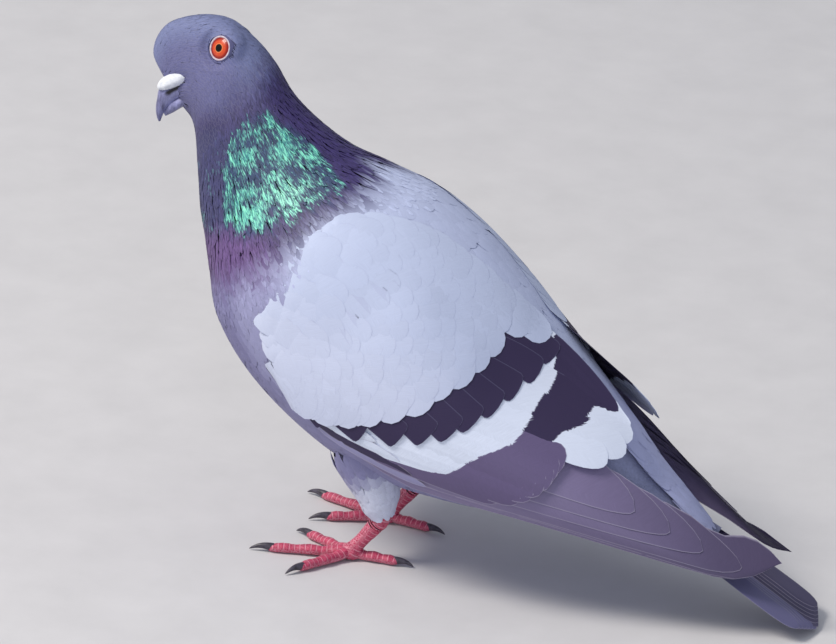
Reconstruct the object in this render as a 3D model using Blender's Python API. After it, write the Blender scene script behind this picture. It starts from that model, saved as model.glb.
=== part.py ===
"""A rock pigeon standing on the floor, life size, as solid parts with the outline of its plumage.

Frame: the bird faces -Y, its left side is +X, and +Z is up from the floor. The shapes are written
in millimetres from a point on the floor between the feet. At the end everything moves along Y, so
that the origin lies under the middle of the bird's box. The head is turned a little to the bird's
left and its crown is tipped to the right.
"""

import math

import bmesh
import bpy
import numpy as np
from mathutils import Matrix, Vector

MM = 0.001
GAP = 0.35
SIDES = {"left": 1.0, "right": -1.0}

# The head turns and tips about the top of the neck.
HEAD_TURN = math.radians(10.0)
HEAD_TIP = math.radians(12.0)
# How much squarer than an oval the head's rings are.
HEAD_FULLNESS = 0.3
NECK_TOP = Vector((0.0, -55.0, 150.0))

# Body outline: lowest point (y, z), highest point (y, z), half width, share of the head's turn.
BODY_STATIONS = (
    (-75.2, 149.0, -83.6, 160.4, 3.0, 1.0),
    (-73.6, 147.6, -87.0, 166.0, 3.7, 1.0),
    (-72.0, 146.0, -86.0, 172.6, 4.7, 1.0),
    (-70.9, 144.6, -81.5, 178.0, 6.3, 1.0),
    (-69.9, 142.6, -71.5, 181.4, 9.2, 1.0),
    (-69.0, 139.8, -61.5, 181.0, 12.4, 1.0),
    (-68.3, 136.0, -52.8, 175.6, 13.9, 0.9),
    (-67.6, 130.5, -45.0, 168.5, 14.3, 0.7),
    (-66.6, 123.5, -37.0, 158.2, 16.2, 0.4),
    (-65.3, 113.0, -27.0, 150.2, 20.0, 0.15),
    (-62.7, 102.6, -14.5, 142.8, 26.0, 0.0),
    (-59.6, 92.0, -1.0, 138.0, 34.0, 0.0),
    (-55.4, 77.7, 17.0, 131.3, 41.5, 0.0),
    (-44.7, 62.1, 35.3, 120.5, 44.5, 0.0),
    (-29.4, 48.2, 51.5, 107.0, 44.5, 0.0),
    (-10.4, 35.7, 65.0, 93.5, 41.5, 0.0),
    (9.7, 27.8, 76.5, 82.0, 37.0, 0.0),
    (28.5, 24.8, 87.5, 71.0, 31.5, 0.0),
    (48.0, 23.5, 97.5, 61.0, 26.0, 0.0),
    (67.5, 22.5, 107.0, 50.5, 21.5, 0.0),
    (88.0, 21.5, 116.0, 42.0, 18.0, 0.0),
    (108.0, 20.0, 124.5, 33.5, 16.0, 0.0),
    (124.0, 18.5, 131.5, 26.0, 14.5, 0.0),
)
# Where each body part starts and ends along the stations.
BODY_PARTS = {
    "head": (0.0, 6.5),
    "neck": (6.5, 9.5),
    "breast": (9.5, 13.0),
    "trunk": (13.0, 16.5),
    "rump": (16.5, 22.0),
}
BODY_SIDES = 22
RINGS_PER_STATION = 2

# The wing's surface: four lines from the wrist to the tip, from its lower edge to its upper edge.
WING_LINES = (
    ((38.5, -21, 72), (43, -3, 58), (44, 22, 48.5), (43.5, 43, 42.5),
     (38, 80, 35), (28, 119, 25.5), (18, 143, 19.5), (6, 156.5, 25)),
    ((39.5, -28, 90), (45, 6, 80), (46, 30, 72), (43.5, 53, 61),
     (37.5, 84, 48), (27, 118, 34.5), (17, 142, 24.5), (5.8, 157, 25.6)),
    ((35, -24, 105), (38.5, 16, 102.5), (36, 40, 91), (29.5, 60, 77.5),
     (25, 89, 60), (18, 115, 43.5), (12, 138, 30.5), (5.5, 157.2, 26)),
    ((26, -15, 117.5), (19, 16, 120.5), (13, 43, 102.5), (7.5, 64.5, 90),
     (10.5, 90, 71), (9.5, 108, 56), (7.5, 130, 38.5), (5, 157, 26.3)),
)
WING_LENGTH = 205.0
WING_DEPTH = 60.0
# How far the body is cleared over the wing and round its edges.
WING_ROOM = 6.0
WING_EDGE_GAP = 1.0
# Edges of the feather groups, as (share of the way up the wing, share of the way to its tip).
COVERTS_END = ((0.0, 0.06), (0.03, 0.10), (0.15, 0.24), (0.30, 0.35), (0.475, 0.40),
               (0.73, 0.44), (1.0, 0.43))
SECONDARIES_END = ((0.10, 0.44), (0.18, 0.515), (0.32, 0.545), (0.5, 0.56), (0.61, 0.597),
                   (0.74, 0.616), (1.0, 0.631))
PRIMARIES_START = ((0.0, 0.075), (0.08, 0.185), (0.14, 0.36), (0.25, 0.48), (0.5, 0.52),
                   (1.0, 0.59))

# The closed tail.
TAIL_BASE_Y = 112.0
TAIL_END_Y = 168.5
TAIL_SLOPE = 0.515
TAIL_END_HEIGHT = 0.6
TAIL_HALF_WIDTHS = (15.0, 16.5, 17.5, 17.0, 15.5, 10.5)
TAIL_THICKNESS = (4.2, 1.7)
TAIL_ARCH = 1.4

# Bill, in the head's own frame: upper point (y, z), lower point (y, z), half width.
UPPER_BILL = (
    (-78.5, 158.5, -72.0, 153.6, 4.5),
    (-83.4, 154.6, -75.6, 151.6, 4.1),
    (-84.2, 150.2, -78.9, 149.0, 3.3),
    (-84.3, 146.8, -81.1, 146.2, 2.4),
    (-83.7, 144.0, -81.9, 144.1, 1.4),
    (-82.8, 142.3, -82.3, 142.6, 0.6),
)
LOWER_BILL = (
    (-72.3, 153.5, -73.0, 149.4, 4.1),
    (-76.2, 151.3, -75.6, 148.0, 3.6),
    (-79.2, 148.8, -78.0, 146.2, 2.6),
    (-81.2, 145.6, -80.6, 144.6, 1.0),
)
CERE_LOBE = Vector((2.7, -79.0, 157.3))
CERE_RADII = Vector((3.2, 5.6, 3.0))
CERE_PITCH = math.radians(30.0)

EYE_RADIUS = 5.4
EYE_CENTRE = Vector((7.3, -60.6, 171.7))

# Legs, for the left side: points of the leg and the radius at each.
THIGH = (((16, 4, 46), 14.5), ((17, 8.5, 35), 11.0), ((17.9, 12, 26.5), 8.0), ((18.3, 13.9, 20), 6.3))
TARSUS = (((18.4, 13.2, 16.5), 3.4), ((18.4, 11.2, 13.6), 3.0), ((18.5, 7.6, 8.6), 2.6),
          ((18.6, 5.4, 5.6), 2.8), ((18.6, 4.2, 3.4), 4.2), ((18.6, 3.4, 1.8), 5.2),
          ((18.6, 3.2, -0.6), 5.2))
FOOT_CENTRE = Vector((18.6, 3.2, 0.0))
FOOT_RADIUS = 5.3
TOE_RADIUS = 2.0
TOE_HEIGHT = 1.7
# Toe: angle from straight ahead towards the outside, reach of its flesh, length of its claw.
TOES = {
    "inner": (math.radians(-27.0), 21.5, 6.5),
    "middle": (math.radians(17.0), 28.5, 7.0),
    "outer": (math.radians(60.0), 23.0, 6.5),
    "hind": (math.radians(186.0), 17.0, 6.0),
}


def make_material(name, colour, roughness):
    """Return a plain plumage, skin or horn material of this colour."""
    material = bpy.data.materials.new(name)
    material.use_nodes = True
    shader = material.node_tree.nodes["Principled BSDF"]
    shader.inputs["Base Color"].default_value = (*colour, 1.0)
    shader.inputs["Roughness"].default_value = roughness
    shader.inputs["Metallic"].default_value = 0.0
    return material


def finish(name, bm, material):
    """Turn a bmesh drawn in millimetres into a named object in metres."""
    bmesh.ops.remove_doubles(bm, verts=bm.verts, dist=0.001)
    bmesh.ops.recalc_face_normals(bm, faces=bm.faces)
    if bm.calc_volume(signed=True) < 0:
        bmesh.ops.reverse_faces(bm, faces=bm.faces)
    bmesh.ops.scale(bm, vec=(MM, MM, MM), verts=bm.verts)
    mesh = bpy.data.meshes.new(name)
    bm.to_mesh(mesh)
    bm.free()
    mesh.shade_smooth()
    mesh.set_sharp_from_angle(angle=math.radians(40.0))
    mesh.materials.append(material)
    item = bpy.data.objects.new(name, mesh)
    bpy.context.collection.objects.link(item)
    return item


def smooth_rows(rows, places):
    """Read a table of rows at fractional places along a smooth curve through them."""
    table = np.array(rows, float)
    table = np.vstack((2 * table[0] - table[1], table, 2 * table[-1] - table[-2]))
    places = np.asarray(places, float)
    start = np.clip(places.astype(int), 0, len(rows) - 2)
    part = (places - start)[:, None]
    before, here, after, beyond = (table[start + step] for step in range(4))
    return 0.5 * (
        2 * here
        + (after - before) * part
        + (2 * before - 5 * here + 4 * after - beyond) * part**2
        + (3 * here - before - 3 * after + beyond) * part**3
    )


def head_turn(share=1.0):
    """The head's turn and tip about the top of the neck, or a share of them."""
    turn = Matrix.Rotation(HEAD_TURN * share, 4, "Z")
    tip = Matrix.Rotation(-HEAD_TIP * share, 4, "Y")
    return Matrix.Translation(NECK_TOP) @ turn @ tip @ Matrix.Translation(-NECK_TOP)


def ring_matrix(lower, upper, half_width, shift=0.0):
    """Place a unit circle as an oval ring between two points of the middle plane."""
    centre = (lower + upper) / 2
    axis = (upper - lower) / 2
    normal = axis.cross(Vector((1.0, 0.0, 0.0))).normalized()
    columns = (Vector((half_width, 0.0, 0.0)), -axis, normal, centre + normal * shift)
    return Matrix([[column[row] for column in columns] for row in range(3)] + [[0, 0, 0, 1]])


def loft(bm, matrices, sides, fullness=None):
    """Bridge a closed body through unit circles placed by these matrices, and cap its ends."""
    rings = []
    for place, matrix in enumerate(matrices):
        ends = place in (0, len(matrices) - 1)
        made = bmesh.ops.create_circle(bm, cap_ends=ends, segments=sides, radius=1.0)
        if fullness:
            for vert in made["verts"]:
                vert.co.x = math.copysign(abs(vert.co.x) ** (1 - fullness[place]), vert.co.x)
        bmesh.ops.transform(bm, matrix=matrix, verts=made["verts"])
        ring = set(made["verts"])
        rings.append([edge for edge in bm.edges if set(edge.verts) <= ring])
    for near, far in zip(rings, rings[1:]):
        bmesh.ops.bridge_loops(bm, edges=near + far)


def body_ring(place, shift=0.0):
    """The matrix of the body's ring at a place along the stations."""
    lower_y, lower_z, upper_y, upper_z, half_width, share = smooth_rows(BODY_STATIONS, [place])[0]
    lower = Vector((0.0, lower_y, lower_z))
    upper = Vector((0.0, upper_y, upper_z))
    return head_turn(share) @ ring_matrix(lower, upper, half_width, shift)


def make_body_part(name, material):
    """Loft one length of the body, a gap short of its neighbours."""
    start, end = BODY_PARTS[name]
    count = round((end - start) * RINGS_PER_STATION)
    places = np.linspace(start, end, count + 1)
    shifts = [0.0] * (count + 1)
    if start > 0:
        shifts[0] = GAP / 2
    if end < len(BODY_STATIONS) - 1:
        shifts[-1] = -GAP / 2
    shares = np.clip(smooth_rows(BODY_STATIONS, places)[:, 5], 0.0, 1.0)
    fullness = [HEAD_FULLNESS * share for share in shares]
    bm = bmesh.new()
    loft(bm, [body_ring(place, shift) for place, shift in zip(places, shifts)], BODY_SIDES, fullness)
    return finish(name, bm, material)


def make_bill(name, stations, material):
    """Loft a half of the bill through its stations, in the turned head."""
    places = np.linspace(0, len(stations) - 1, 2 * len(stations) - 1)
    matrices = []
    for upper_y, upper_z, lower_y, lower_z, half_width in smooth_rows(stations, places):
        upper = Vector((0.0, upper_y, upper_z))
        lower = Vector((0.0, lower_y, lower_z))
        matrices.append(head_turn() @ ring_matrix(lower, upper, half_width))
    bm = bmesh.new()
    loft(bm, matrices, 10)
    return finish(name, bm, material)


def make_ball(name, centre, radii, pitch, material, segments=12, rings=7):
    """A round or oval body in the turned head, tipped forward by a pitch."""
    bm = bmesh.new()
    bmesh.ops.create_uvsphere(bm, u_segments=segments, v_segments=rings, radius=1.0)
    shape = Matrix.Translation(centre) @ Matrix.Rotation(pitch, 4, "X") @ Matrix.Diagonal((*radii, 1))
    bmesh.ops.transform(bm, matrix=head_turn() @ shape, verts=bm.verts)
    return finish(name, bm, material)


def make_cere(material):
    """The two swollen lobes over the nostrils as one body, and the room they need."""
    lobes = []
    for name, sign in (("cere", 1.0), ("cere_right_lobe", -1.0)):
        centre = CERE_LOBE * Vector((sign, 1.0, 1.0))
        lobes.append(make_ball(name, centre, CERE_RADII, CERE_PITCH, material))
    room = [grown_copy(lobe, GAP) for lobe in lobes]
    cere, other = lobes
    other.hide_render = True
    other.display_type = "WIRE"
    modifier = cere.modifiers.new("Both lobes", "BOOLEAN")
    modifier.operation = "UNION"
    modifier.solver = "EXACT"
    modifier.object = other
    return cere, room


def make_tube(name, points, radii, material, sides=8):
    """A round tapered body along a line of points, cut flat where it meets the floor."""
    points = [Vector(point) for point in points]
    matrices = []
    for place, (point, radius) in enumerate(zip(points, radii)):
        before = points[max(place - 1, 0)]
        after = points[min(place + 1, len(points) - 1)]
        turn = (after - before).to_track_quat("Z", "Y").to_matrix().to_4x4()
        matrices.append(Matrix.Translation(point) @ turn @ Matrix.Diagonal((radius, radius, 1, 1)))
    bm = bmesh.new()
    loft(bm, matrices, sides)
    cut_at_floor(bm)
    return finish(name, bm, material)


def cut_at_floor(bm):
    """Remove what lies below the floor and close the cut with a flat."""
    everything = bm.verts[:] + bm.edges[:] + bm.faces[:]
    cut = bmesh.ops.bisect_plane(
        bm, geom=everything, dist=0.0005, plane_co=(0, 0, 0), plane_no=(0, 0, 1), clear_inner=True
    )
    edges = [item for item in cut["geom_cut"] if isinstance(item, bmesh.types.BMEdge)]
    if edges:
        bmesh.ops.holes_fill(bm, edges=edges, sides=0)


def slab(bm, across, along):
    """A closed flat slab with corners (0, 0, 0) and (1, 1, 1), divided across and along."""
    bmesh.ops.create_grid(bm, x_segments=across, y_segments=along, size=0.5)
    bmesh.ops.translate(bm, vec=(0.5, 0.5, 0.0), verts=bm.verts)
    grown = bmesh.ops.extrude_face_region(bm, geom=bm.faces[:])
    top = [item for item in grown["geom"] if isinstance(item, bmesh.types.BMVert)]
    bmesh.ops.translate(bm, vec=(0.0, 0.0, 1.0), verts=top)


def reshape(bm, function):
    """Move every vertex by one function of all their coordinates."""
    verts = bm.verts[:]
    moved = function(np.array([vert.co for vert in verts]))
    for vert, place in zip(verts, moved):
        vert.co = place


def wing_surface(along, up):
    """Points of the left wing's surface, and its normals."""
    def points(along, up):
        lines = [smooth_rows(line, along * (len(line) - 1)) for line in WING_LINES]
        stops = (0.0, 1 / 3, 2 / 3, 1.0)
        total = 0.0
        for here, stop in enumerate(stops):
            weight = np.ones_like(up)
            for other, value in enumerate(stops):
                if other != here:
                    weight = weight * (up - value) / (stop - value)
            total = total + lines[here] * weight[:, None]
        return total

    step = 0.004
    middle = points(along, up)
    slope_along = points(along + step, up) - points(along - step, up)
    slope_up = points(along, up + step) - points(along, up - step)
    normal = np.cross(slope_along, slope_up)
    normal /= np.linalg.norm(normal, axis=1)[:, None]
    return middle, normal


def wing_patch(name, side, start, end, rise, heights, segments, material, grow=0.0):
    """A layer of the wing between two edges, from one height over its surface to another."""
    def shape(slabs):
        more_up = grow / WING_DEPTH
        more_along = grow / WING_LENGTH
        up = rise[0] - more_up + slabs[:, 1] * (rise[1] - rise[0] + 2 * more_up)
        first = np.interp(up, *zip(*start)) - more_along
        last = np.interp(up, *zip(*end)) + more_along
        middle, normal = wing_surface(first + slabs[:, 0] * (last - first), up)
        lift = heights[0] + slabs[:, 2] * (heights[1] - heights[0])
        return (middle + normal * lift[:, None]) * (SIDES[side], 1.0, 1.0)

    bm = bmesh.new()
    slab(bm, *segments)
    reshape(bm, shape)
    return finish(name, bm, material)


def make_tail(name, material, grow=0.0):
    """The closed tail: a flat arched fan whose end rests on the floor."""
    def shape(slabs):
        across = 2 * slabs[:, 0] - 1
        along = slabs[:, 1]
        width = smooth_rows([[w] for w in TAIL_HALF_WIDTHS], along * (len(TAIL_HALF_WIDTHS) - 1))
        thickness = TAIL_THICKNESS[0] + (TAIL_THICKNESS[1] - TAIL_THICKNESS[0]) * along
        y = TAIL_BASE_Y - grow + (TAIL_END_Y + grow - TAIL_BASE_Y) * along
        y = y - 2.0 * across**2 * along**4
        z = TAIL_END_HEIGHT + TAIL_SLOPE * (TAIL_END_Y - y)
        z = z - TAIL_ARCH * across**2 * (1 - along)
        z = z + (slabs[:, 2] - 0.5) * (thickness + 2 * grow)
        return np.stack((across * (width[:, 0] + grow), y, z), axis=1)

    bm = bmesh.new()
    slab(bm, 6, 10)
    reshape(bm, shape)
    if not grow:
        cut_at_floor(bm)
    return finish(name, bm, material)


def carve(item, cutters):
    """Cut each of these helpers out of a part."""
    for cutter in cutters:
        cutter.hide_render = True
        cutter.display_type = "WIRE"
        modifier = item.modifiers.new("Clear " + cutter.name, "BOOLEAN")
        modifier.operation = "DIFFERENCE"
        modifier.solver = "EXACT"
        modifier.object = cutter


def grown_copy(item, amount):
    """A copy of a part with its surface moved out, to cut room for the part."""
    bm = bmesh.new()
    bm.from_mesh(item.data)
    bm.normal_update()
    moved = [(vert, vert.co + vert.normal * amount * MM) for vert in bm.verts]
    for vert, place in moved:
        vert.co = place
    bmesh.ops.scale(bm, vec=(1 / MM, 1 / MM, 1 / MM), verts=bm.verts)
    return finish("room_for_" + item.name, bm, item.data.materials[0])


def make_wing(side, materials):
    """Coverts, secondaries and primaries of one wing, and the room they need in the body."""
    coverts = dict(start=((0.0, 0.0), (1.0, 0.0)), end=COVERTS_END, rise=(0.0, 1.0))
    secondary_start = [(up, along + 0.009) for up, along in COVERTS_END]
    secondaries = dict(start=secondary_start, end=SECONDARIES_END, rise=(0.10, 1.0))
    primaries = dict(start=PRIMARIES_START, end=((0.0, 1.0), (1.0, 1.0)), rise=(0.0, 1.0))
    room = []
    for group, edges, heights, segments, coat in (
        ("coverts", coverts, (-1.5, 3.0), (11, 10), "pale"),
        ("secondaries", secondaries, (0.6, 2.3), (6, 9), "dark"),
        ("primaries", primaries, (-1.6, 0.0), (12, 6), "flight"),
    ):
        name = group + "_" + side
        wing_patch("wing_" + name, side, heights=heights, segments=segments,
                   material=materials[coat], **edges)
        heights = (heights[0] - GAP, heights[1] + WING_ROOM)
        room.append(wing_patch("room_" + name, side, heights=heights, segments=segments,
                               material=materials[coat], grow=WING_EDGE_GAP, **edges))
    return room


def make_leg(side, materials):
    """Feathered thigh, tarsus with its pad, and four toes with claws; returns the thigh."""
    mirror = Vector((SIDES[side], 1.0, 1.0))
    points, radii = zip(*THIGH)
    thigh = make_tube("thigh_" + side, [Vector(p) * mirror for p in points], radii,
                      materials["white"], 14)
    points, radii = zip(*TARSUS)
    make_tube("tarsus_" + side, [Vector(p) * mirror for p in points], radii, materials["leg"], 12)
    for toe, (angle, reach, claw) in TOES.items():
        ahead = Vector((math.sin(angle), -math.cos(angle), 0.0))
        spots = np.linspace(FOOT_RADIUS + 1.2, reach, 4)
        points = [(FOOT_CENTRE + ahead * spot + Vector((0, 0, TOE_HEIGHT))) * mirror for spot in spots]
        radii = TOE_RADIUS * np.array((1.0, 0.94, 0.9, 0.8))
        make_tube("toe_" + toe + "_" + side, points, radii, materials["leg"])
        spots = reach + GAP + claw * np.array((0.0, 0.35, 0.7, 1.0))
        lifts = (TOE_HEIGHT, TOE_HEIGHT + 0.3, TOE_HEIGHT - 0.4, 0.5)
        points = [(FOOT_CENTRE + ahead * spot + Vector((0, 0, lift))) * mirror
                  for spot, lift in zip(spots, lifts)]
        make_tube("claw_" + toe + "_" + side, points, (1.45, 1.25, 0.85, 0.35),
                  materials["horn"], 6)
    return thigh


def make_bird():
    """Every part of the bird."""
    materials = {
        "slate": make_material("Slate blue plumage", (0.16, 0.17, 0.27), 0.6),
        "neck": make_material("Glossy neck plumage", (0.05, 0.12, 0.14), 0.4),
        "breast": make_material("Mauve grey plumage", (0.22, 0.20, 0.33), 0.6),
        "pale": make_material("Pale grey plumage", (0.50, 0.52, 0.66), 0.65),
        "dark": make_material("Black bar plumage", (0.03, 0.02, 0.05), 0.5),
        "flight": make_material("Grey flight feathers", (0.11, 0.09, 0.15), 0.5),
        "white": make_material("White grey down", (0.55, 0.57, 0.66), 0.75),
        "leg": make_material("Crimson scaled skin", (0.45, 0.04, 0.10), 0.5),
        "horn": make_material("Dark grey horn", (0.05, 0.05, 0.06), 0.4),
        "cere": make_material("Chalky white cere", (0.8, 0.8, 0.8), 0.7),
        "eye": make_material("Orange red eye", (0.6, 0.08, 0.02), 0.1),
    }
    coats = {"head": "slate", "neck": "neck", "breast": "breast", "trunk": "breast", "rump": "pale"}
    body = {name: make_body_part(name, materials[coats[name]]) for name in BODY_PARTS}
    make_tail("tail", materials["flight"])
    carve(body["rump"], [make_tail("room_tail", materials["flight"], GAP)])

    upper = make_bill("bill_upper", UPPER_BILL, materials["horn"])
    lower = make_bill("bill_lower", LOWER_BILL, materials["horn"])
    cere, cere_room = make_cere(materials["cere"])
    upper_room = grown_copy(upper, GAP)
    carve(upper, cere_room)
    carve(lower, [upper_room])
    carve(body["head"], [upper_room, grown_copy(lower, GAP), *cere_room])
    for side, sign in SIDES.items():
        flip = Vector((sign, 1.0, 1.0))
        eye = make_ball("eye_" + side, EYE_CENTRE * flip, Vector((1, 1, 1)) * EYE_RADIUS, 0.0,
                        materials["eye"])
        room = [grown_copy(eye, GAP)]
        carve(body["head"], room)

    for side in SIDES:
        room = make_wing(side, materials)
        thigh = make_leg(side, materials)
        room.append(grown_copy(thigh, GAP))
        for name in ("breast", "trunk", "rump"):
            carve(body[name], room)


def centre_on_floor():
    """Move everything along Y so that the origin lies under the middle of the bird's box."""
    bpy.context.view_layer.update()
    shown = [item for item in bpy.data.objects if not item.hide_render]
    ys = [corner[1] for item in shown for corner in item.bound_box]
    root = bpy.data.objects.new("pigeon_root", None)
    bpy.context.collection.objects.link(root)
    root.location.y = -(min(ys) + max(ys)) / 2
    for item in bpy.data.objects:
        if item is not root:
            item.parent = root


def main():
    for item in list(bpy.data.objects):
        bpy.data.objects.remove(item)
    make_bird()
    centre_on_floor()


main()
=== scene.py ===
"""A rock pigeon standing on the floor: skin, plumage, flight feathers, eyes, bill and feet.

Lengths are in millimetres until a mesh is made, which turns them into metres. The bird faces -Y,
its left side is +X and +Z is up. The tables of the body and the wing are the outer surfaces of the
frame's solids, and every feather is laid on them.
"""

import math

import bmesh
import bpy
import numpy as np
from mathutils import Matrix, Vector
from mathutils.bvhtree import BVHTree
from mathutils.kdtree import KDTree


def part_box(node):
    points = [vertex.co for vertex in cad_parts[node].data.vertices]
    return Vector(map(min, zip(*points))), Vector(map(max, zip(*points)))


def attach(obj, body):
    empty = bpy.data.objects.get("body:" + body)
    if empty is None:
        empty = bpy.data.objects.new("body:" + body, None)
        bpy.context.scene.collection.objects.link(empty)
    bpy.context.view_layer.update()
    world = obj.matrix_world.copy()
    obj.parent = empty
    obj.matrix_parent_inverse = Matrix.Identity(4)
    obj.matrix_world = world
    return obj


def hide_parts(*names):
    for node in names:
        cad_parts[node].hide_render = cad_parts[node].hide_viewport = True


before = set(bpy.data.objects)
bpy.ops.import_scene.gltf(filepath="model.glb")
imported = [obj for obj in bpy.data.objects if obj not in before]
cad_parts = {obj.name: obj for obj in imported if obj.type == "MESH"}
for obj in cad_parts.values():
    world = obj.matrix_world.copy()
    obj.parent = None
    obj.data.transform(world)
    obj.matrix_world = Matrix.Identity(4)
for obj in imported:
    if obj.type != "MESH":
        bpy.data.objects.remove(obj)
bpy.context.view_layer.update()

MM = 0.001
RNG = np.random.default_rng(7)
SIDES = {"left": 1.0, "right": -1.0}

# The tables are written from a point between the feet, and the tail's end gives the way from there.
TAIL_END_Y = 168.5
SHIFT_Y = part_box("tail")[1].y / MM - TAIL_END_Y

HEAD_TURN = math.radians(10.0)
HEAD_TIP = math.radians(12.0)
# How much squarer than an oval the head's rings are.
HEAD_FULLNESS = 0.3
NECK_TOP = np.array((0.0, -55.0, 150.0))

# Body outline: lowest point (y, z), highest point (y, z), half width, share of the head's turn.
BODY_STATIONS = (
    (-75.2, 149.0, -83.6, 160.4, 3.0, 1.0),
    (-73.6, 147.6, -87.0, 166.0, 3.7, 1.0),
    (-72.0, 146.0, -86.0, 172.6, 4.7, 1.0),
    (-70.9, 144.6, -81.5, 178.0, 6.3, 1.0),
    (-69.9, 142.6, -71.5, 181.4, 9.2, 1.0),
    (-69.0, 139.8, -61.5, 181.0, 12.4, 1.0),
    (-68.3, 136.0, -52.8, 175.6, 13.9, 0.9),
    (-67.6, 130.5, -45.0, 168.5, 14.3, 0.7),
    (-66.6, 123.5, -37.0, 158.2, 16.2, 0.4),
    (-65.3, 113.0, -27.0, 150.2, 20.0, 0.15),
    (-62.7, 102.6, -14.5, 142.8, 26.0, 0.0),
    (-59.6, 92.0, -1.0, 138.0, 34.0, 0.0),
    (-55.4, 77.7, 17.0, 131.3, 41.5, 0.0),
    (-44.7, 62.1, 35.3, 120.5, 44.5, 0.0),
    (-29.4, 48.2, 51.5, 107.0, 44.5, 0.0),
    (-10.4, 35.7, 65.0, 93.5, 41.5, 0.0),
    (9.7, 27.8, 76.5, 82.0, 37.0, 0.0),
    (28.5, 24.8, 87.5, 71.0, 31.5, 0.0),
    (48.0, 23.5, 97.5, 61.0, 26.0, 0.0),
    (67.5, 22.5, 107.0, 50.5, 21.5, 0.0),
    (88.0, 21.5, 116.0, 42.0, 18.0, 0.0),
    (108.0, 20.0, 124.5, 33.5, 16.0, 0.0),
    (124.0, 18.5, 131.5, 26.0, 14.5, 0.0),
)

# The wing's surface: four lines from the wrist to the tip, from its lower edge to its upper edge.
WING_LINES = (
    ((38.5, -21, 72), (43, -3, 58), (44, 22, 48.5), (43.5, 43, 42.5),
     (38, 80, 35), (28, 119, 25.5), (18, 143, 19.5), (6, 156.5, 25)),
    ((39.5, -28, 90), (45, 6, 80), (46, 30, 72), (43.5, 53, 61),
     (37.5, 84, 48), (27, 118, 34.5), (17, 142, 24.5), (5.8, 157, 25.6)),
    ((35, -24, 105), (38.5, 16, 102.5), (36, 40, 91), (29.5, 60, 77.5),
     (25, 89, 60), (18, 115, 43.5), (12, 138, 30.5), (5.5, 157.2, 26)),
    ((26, -15, 117.5), (19, 16, 120.5), (13, 43, 102.5), (7.5, 64.5, 90),
     (10.5, 90, 71), (9.5, 108, 56), (7.5, 130, 38.5), (5, 157, 26.3)),
)


def smooth_rows(rows, places):
    """Read a table of rows at fractional places along a smooth curve through them."""
    table = np.array(rows, float)
    table = np.vstack((2 * table[0] - table[1], table, 2 * table[-1] - table[-2]))
    places = np.asarray(places, float)
    start = np.clip(places.astype(int), 0, len(rows) - 2)
    part = (places - start)[:, None]
    before, here, after, beyond = (table[start + step] for step in range(4))
    return 0.5 * (
        2 * here
        + (after - before) * part
        + (2 * before - 5 * here + 4 * after - beyond) * part**2
        + (3 * here - before - 3 * after + beyond) * part**3
    )


def smoothstep(low, high, value):
    """A smooth rise from 0 at low to 1 at high."""
    part = np.clip((value - low) / (high - low), 0.0, 1.0)
    return part * part * (3 - 2 * part)


def head_place(points, share=1.0):
    """Turn and tip points of the head's own frame about the top of the neck."""
    share = np.broadcast_to(share, len(points))
    x, y, z = (np.asarray(points, float) - NECK_TOP).T
    tip = -HEAD_TIP * share
    turn = HEAD_TURN * share
    x, z = x * np.cos(tip) + z * np.sin(tip), z * np.cos(tip) - x * np.sin(tip)
    x, y = x * np.cos(turn) - y * np.sin(turn), x * np.sin(turn) + y * np.cos(turn)
    return np.stack((x, y, z), axis=1) + NECK_TOP + (0.0, SHIFT_Y, 0.0)


def body_points(place, angle):
    """Points of the body's outer surface: along the stations, and round from the back to the left."""
    rows = smooth_rows(BODY_STATIONS, place)
    lower = np.stack((0 * place, rows[:, 0], rows[:, 1]), axis=1)
    upper = np.stack((0 * place, rows[:, 2], rows[:, 3]), axis=1)
    points = (lower + upper) / 2 + (upper - lower) / 2 * np.cos(angle)[:, None]
    share = np.clip(rows[:, 5], 0.0, 1.0)
    aside = np.sin(angle)
    points[:, 0] += rows[:, 4] * np.sign(aside) * np.abs(aside) ** (1 - HEAD_FULLNESS * share)
    return head_place(points, share)


def wing_points(along, up, side):
    """Points of a folded wing's surface: from wrist to tip, and from its lower to its upper edge."""
    lines = [smooth_rows(line, along * (len(line) - 1)) for line in WING_LINES]
    stops = (0.0, 1 / 3, 2 / 3, 1.0)
    total = 0.0
    for here, stop in enumerate(stops):
        weight = np.ones_like(up)
        for other, value in enumerate(stops):
            if other != here:
                weight = weight * (up - value) / (stop - value)
        total = total + lines[here] * weight[:, None]
    return total * (SIDES[side], 1.0, 1.0) + (0.0, SHIFT_Y, 0.0)


def with_normals(points, step, outward):
    """A surface function that gives points, outward normals and the slopes along both numbers."""
    def surface(first, second):
        slope_a = (points(first + step, second) - points(first - step, second)) / (2 * step)
        slope_b = (points(first, second + step) - points(first, second - step)) / (2 * step)
        normal = outward * np.cross(slope_a, slope_b)
        normal /= np.linalg.norm(normal, axis=1)[:, None]
        return points(first, second), normal, slope_a, slope_b

    return surface


BODY = with_normals(body_points, 0.01, -1.0)
WINGS = {
    side: with_normals(lambda along, up, side=side: wing_points(along, up, side), 0.004, sign)
    for side, sign in SIDES.items()
}


def paint(code):
    """Turn an sRGB hex colour into linear light."""
    value = np.array([int(code[i:i + 2], 16) for i in (1, 3, 5)]) / 255
    return np.where(value <= 0.04045, value / 12.92, ((value + 0.055) / 1.055) ** 2.4)


def blend(first, second, share):
    """Mix two colours, each one colour or one for each point."""
    return first + (second - first) * np.asarray(share)[..., None]


# ---------------------------------------------------------------- feathers

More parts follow.
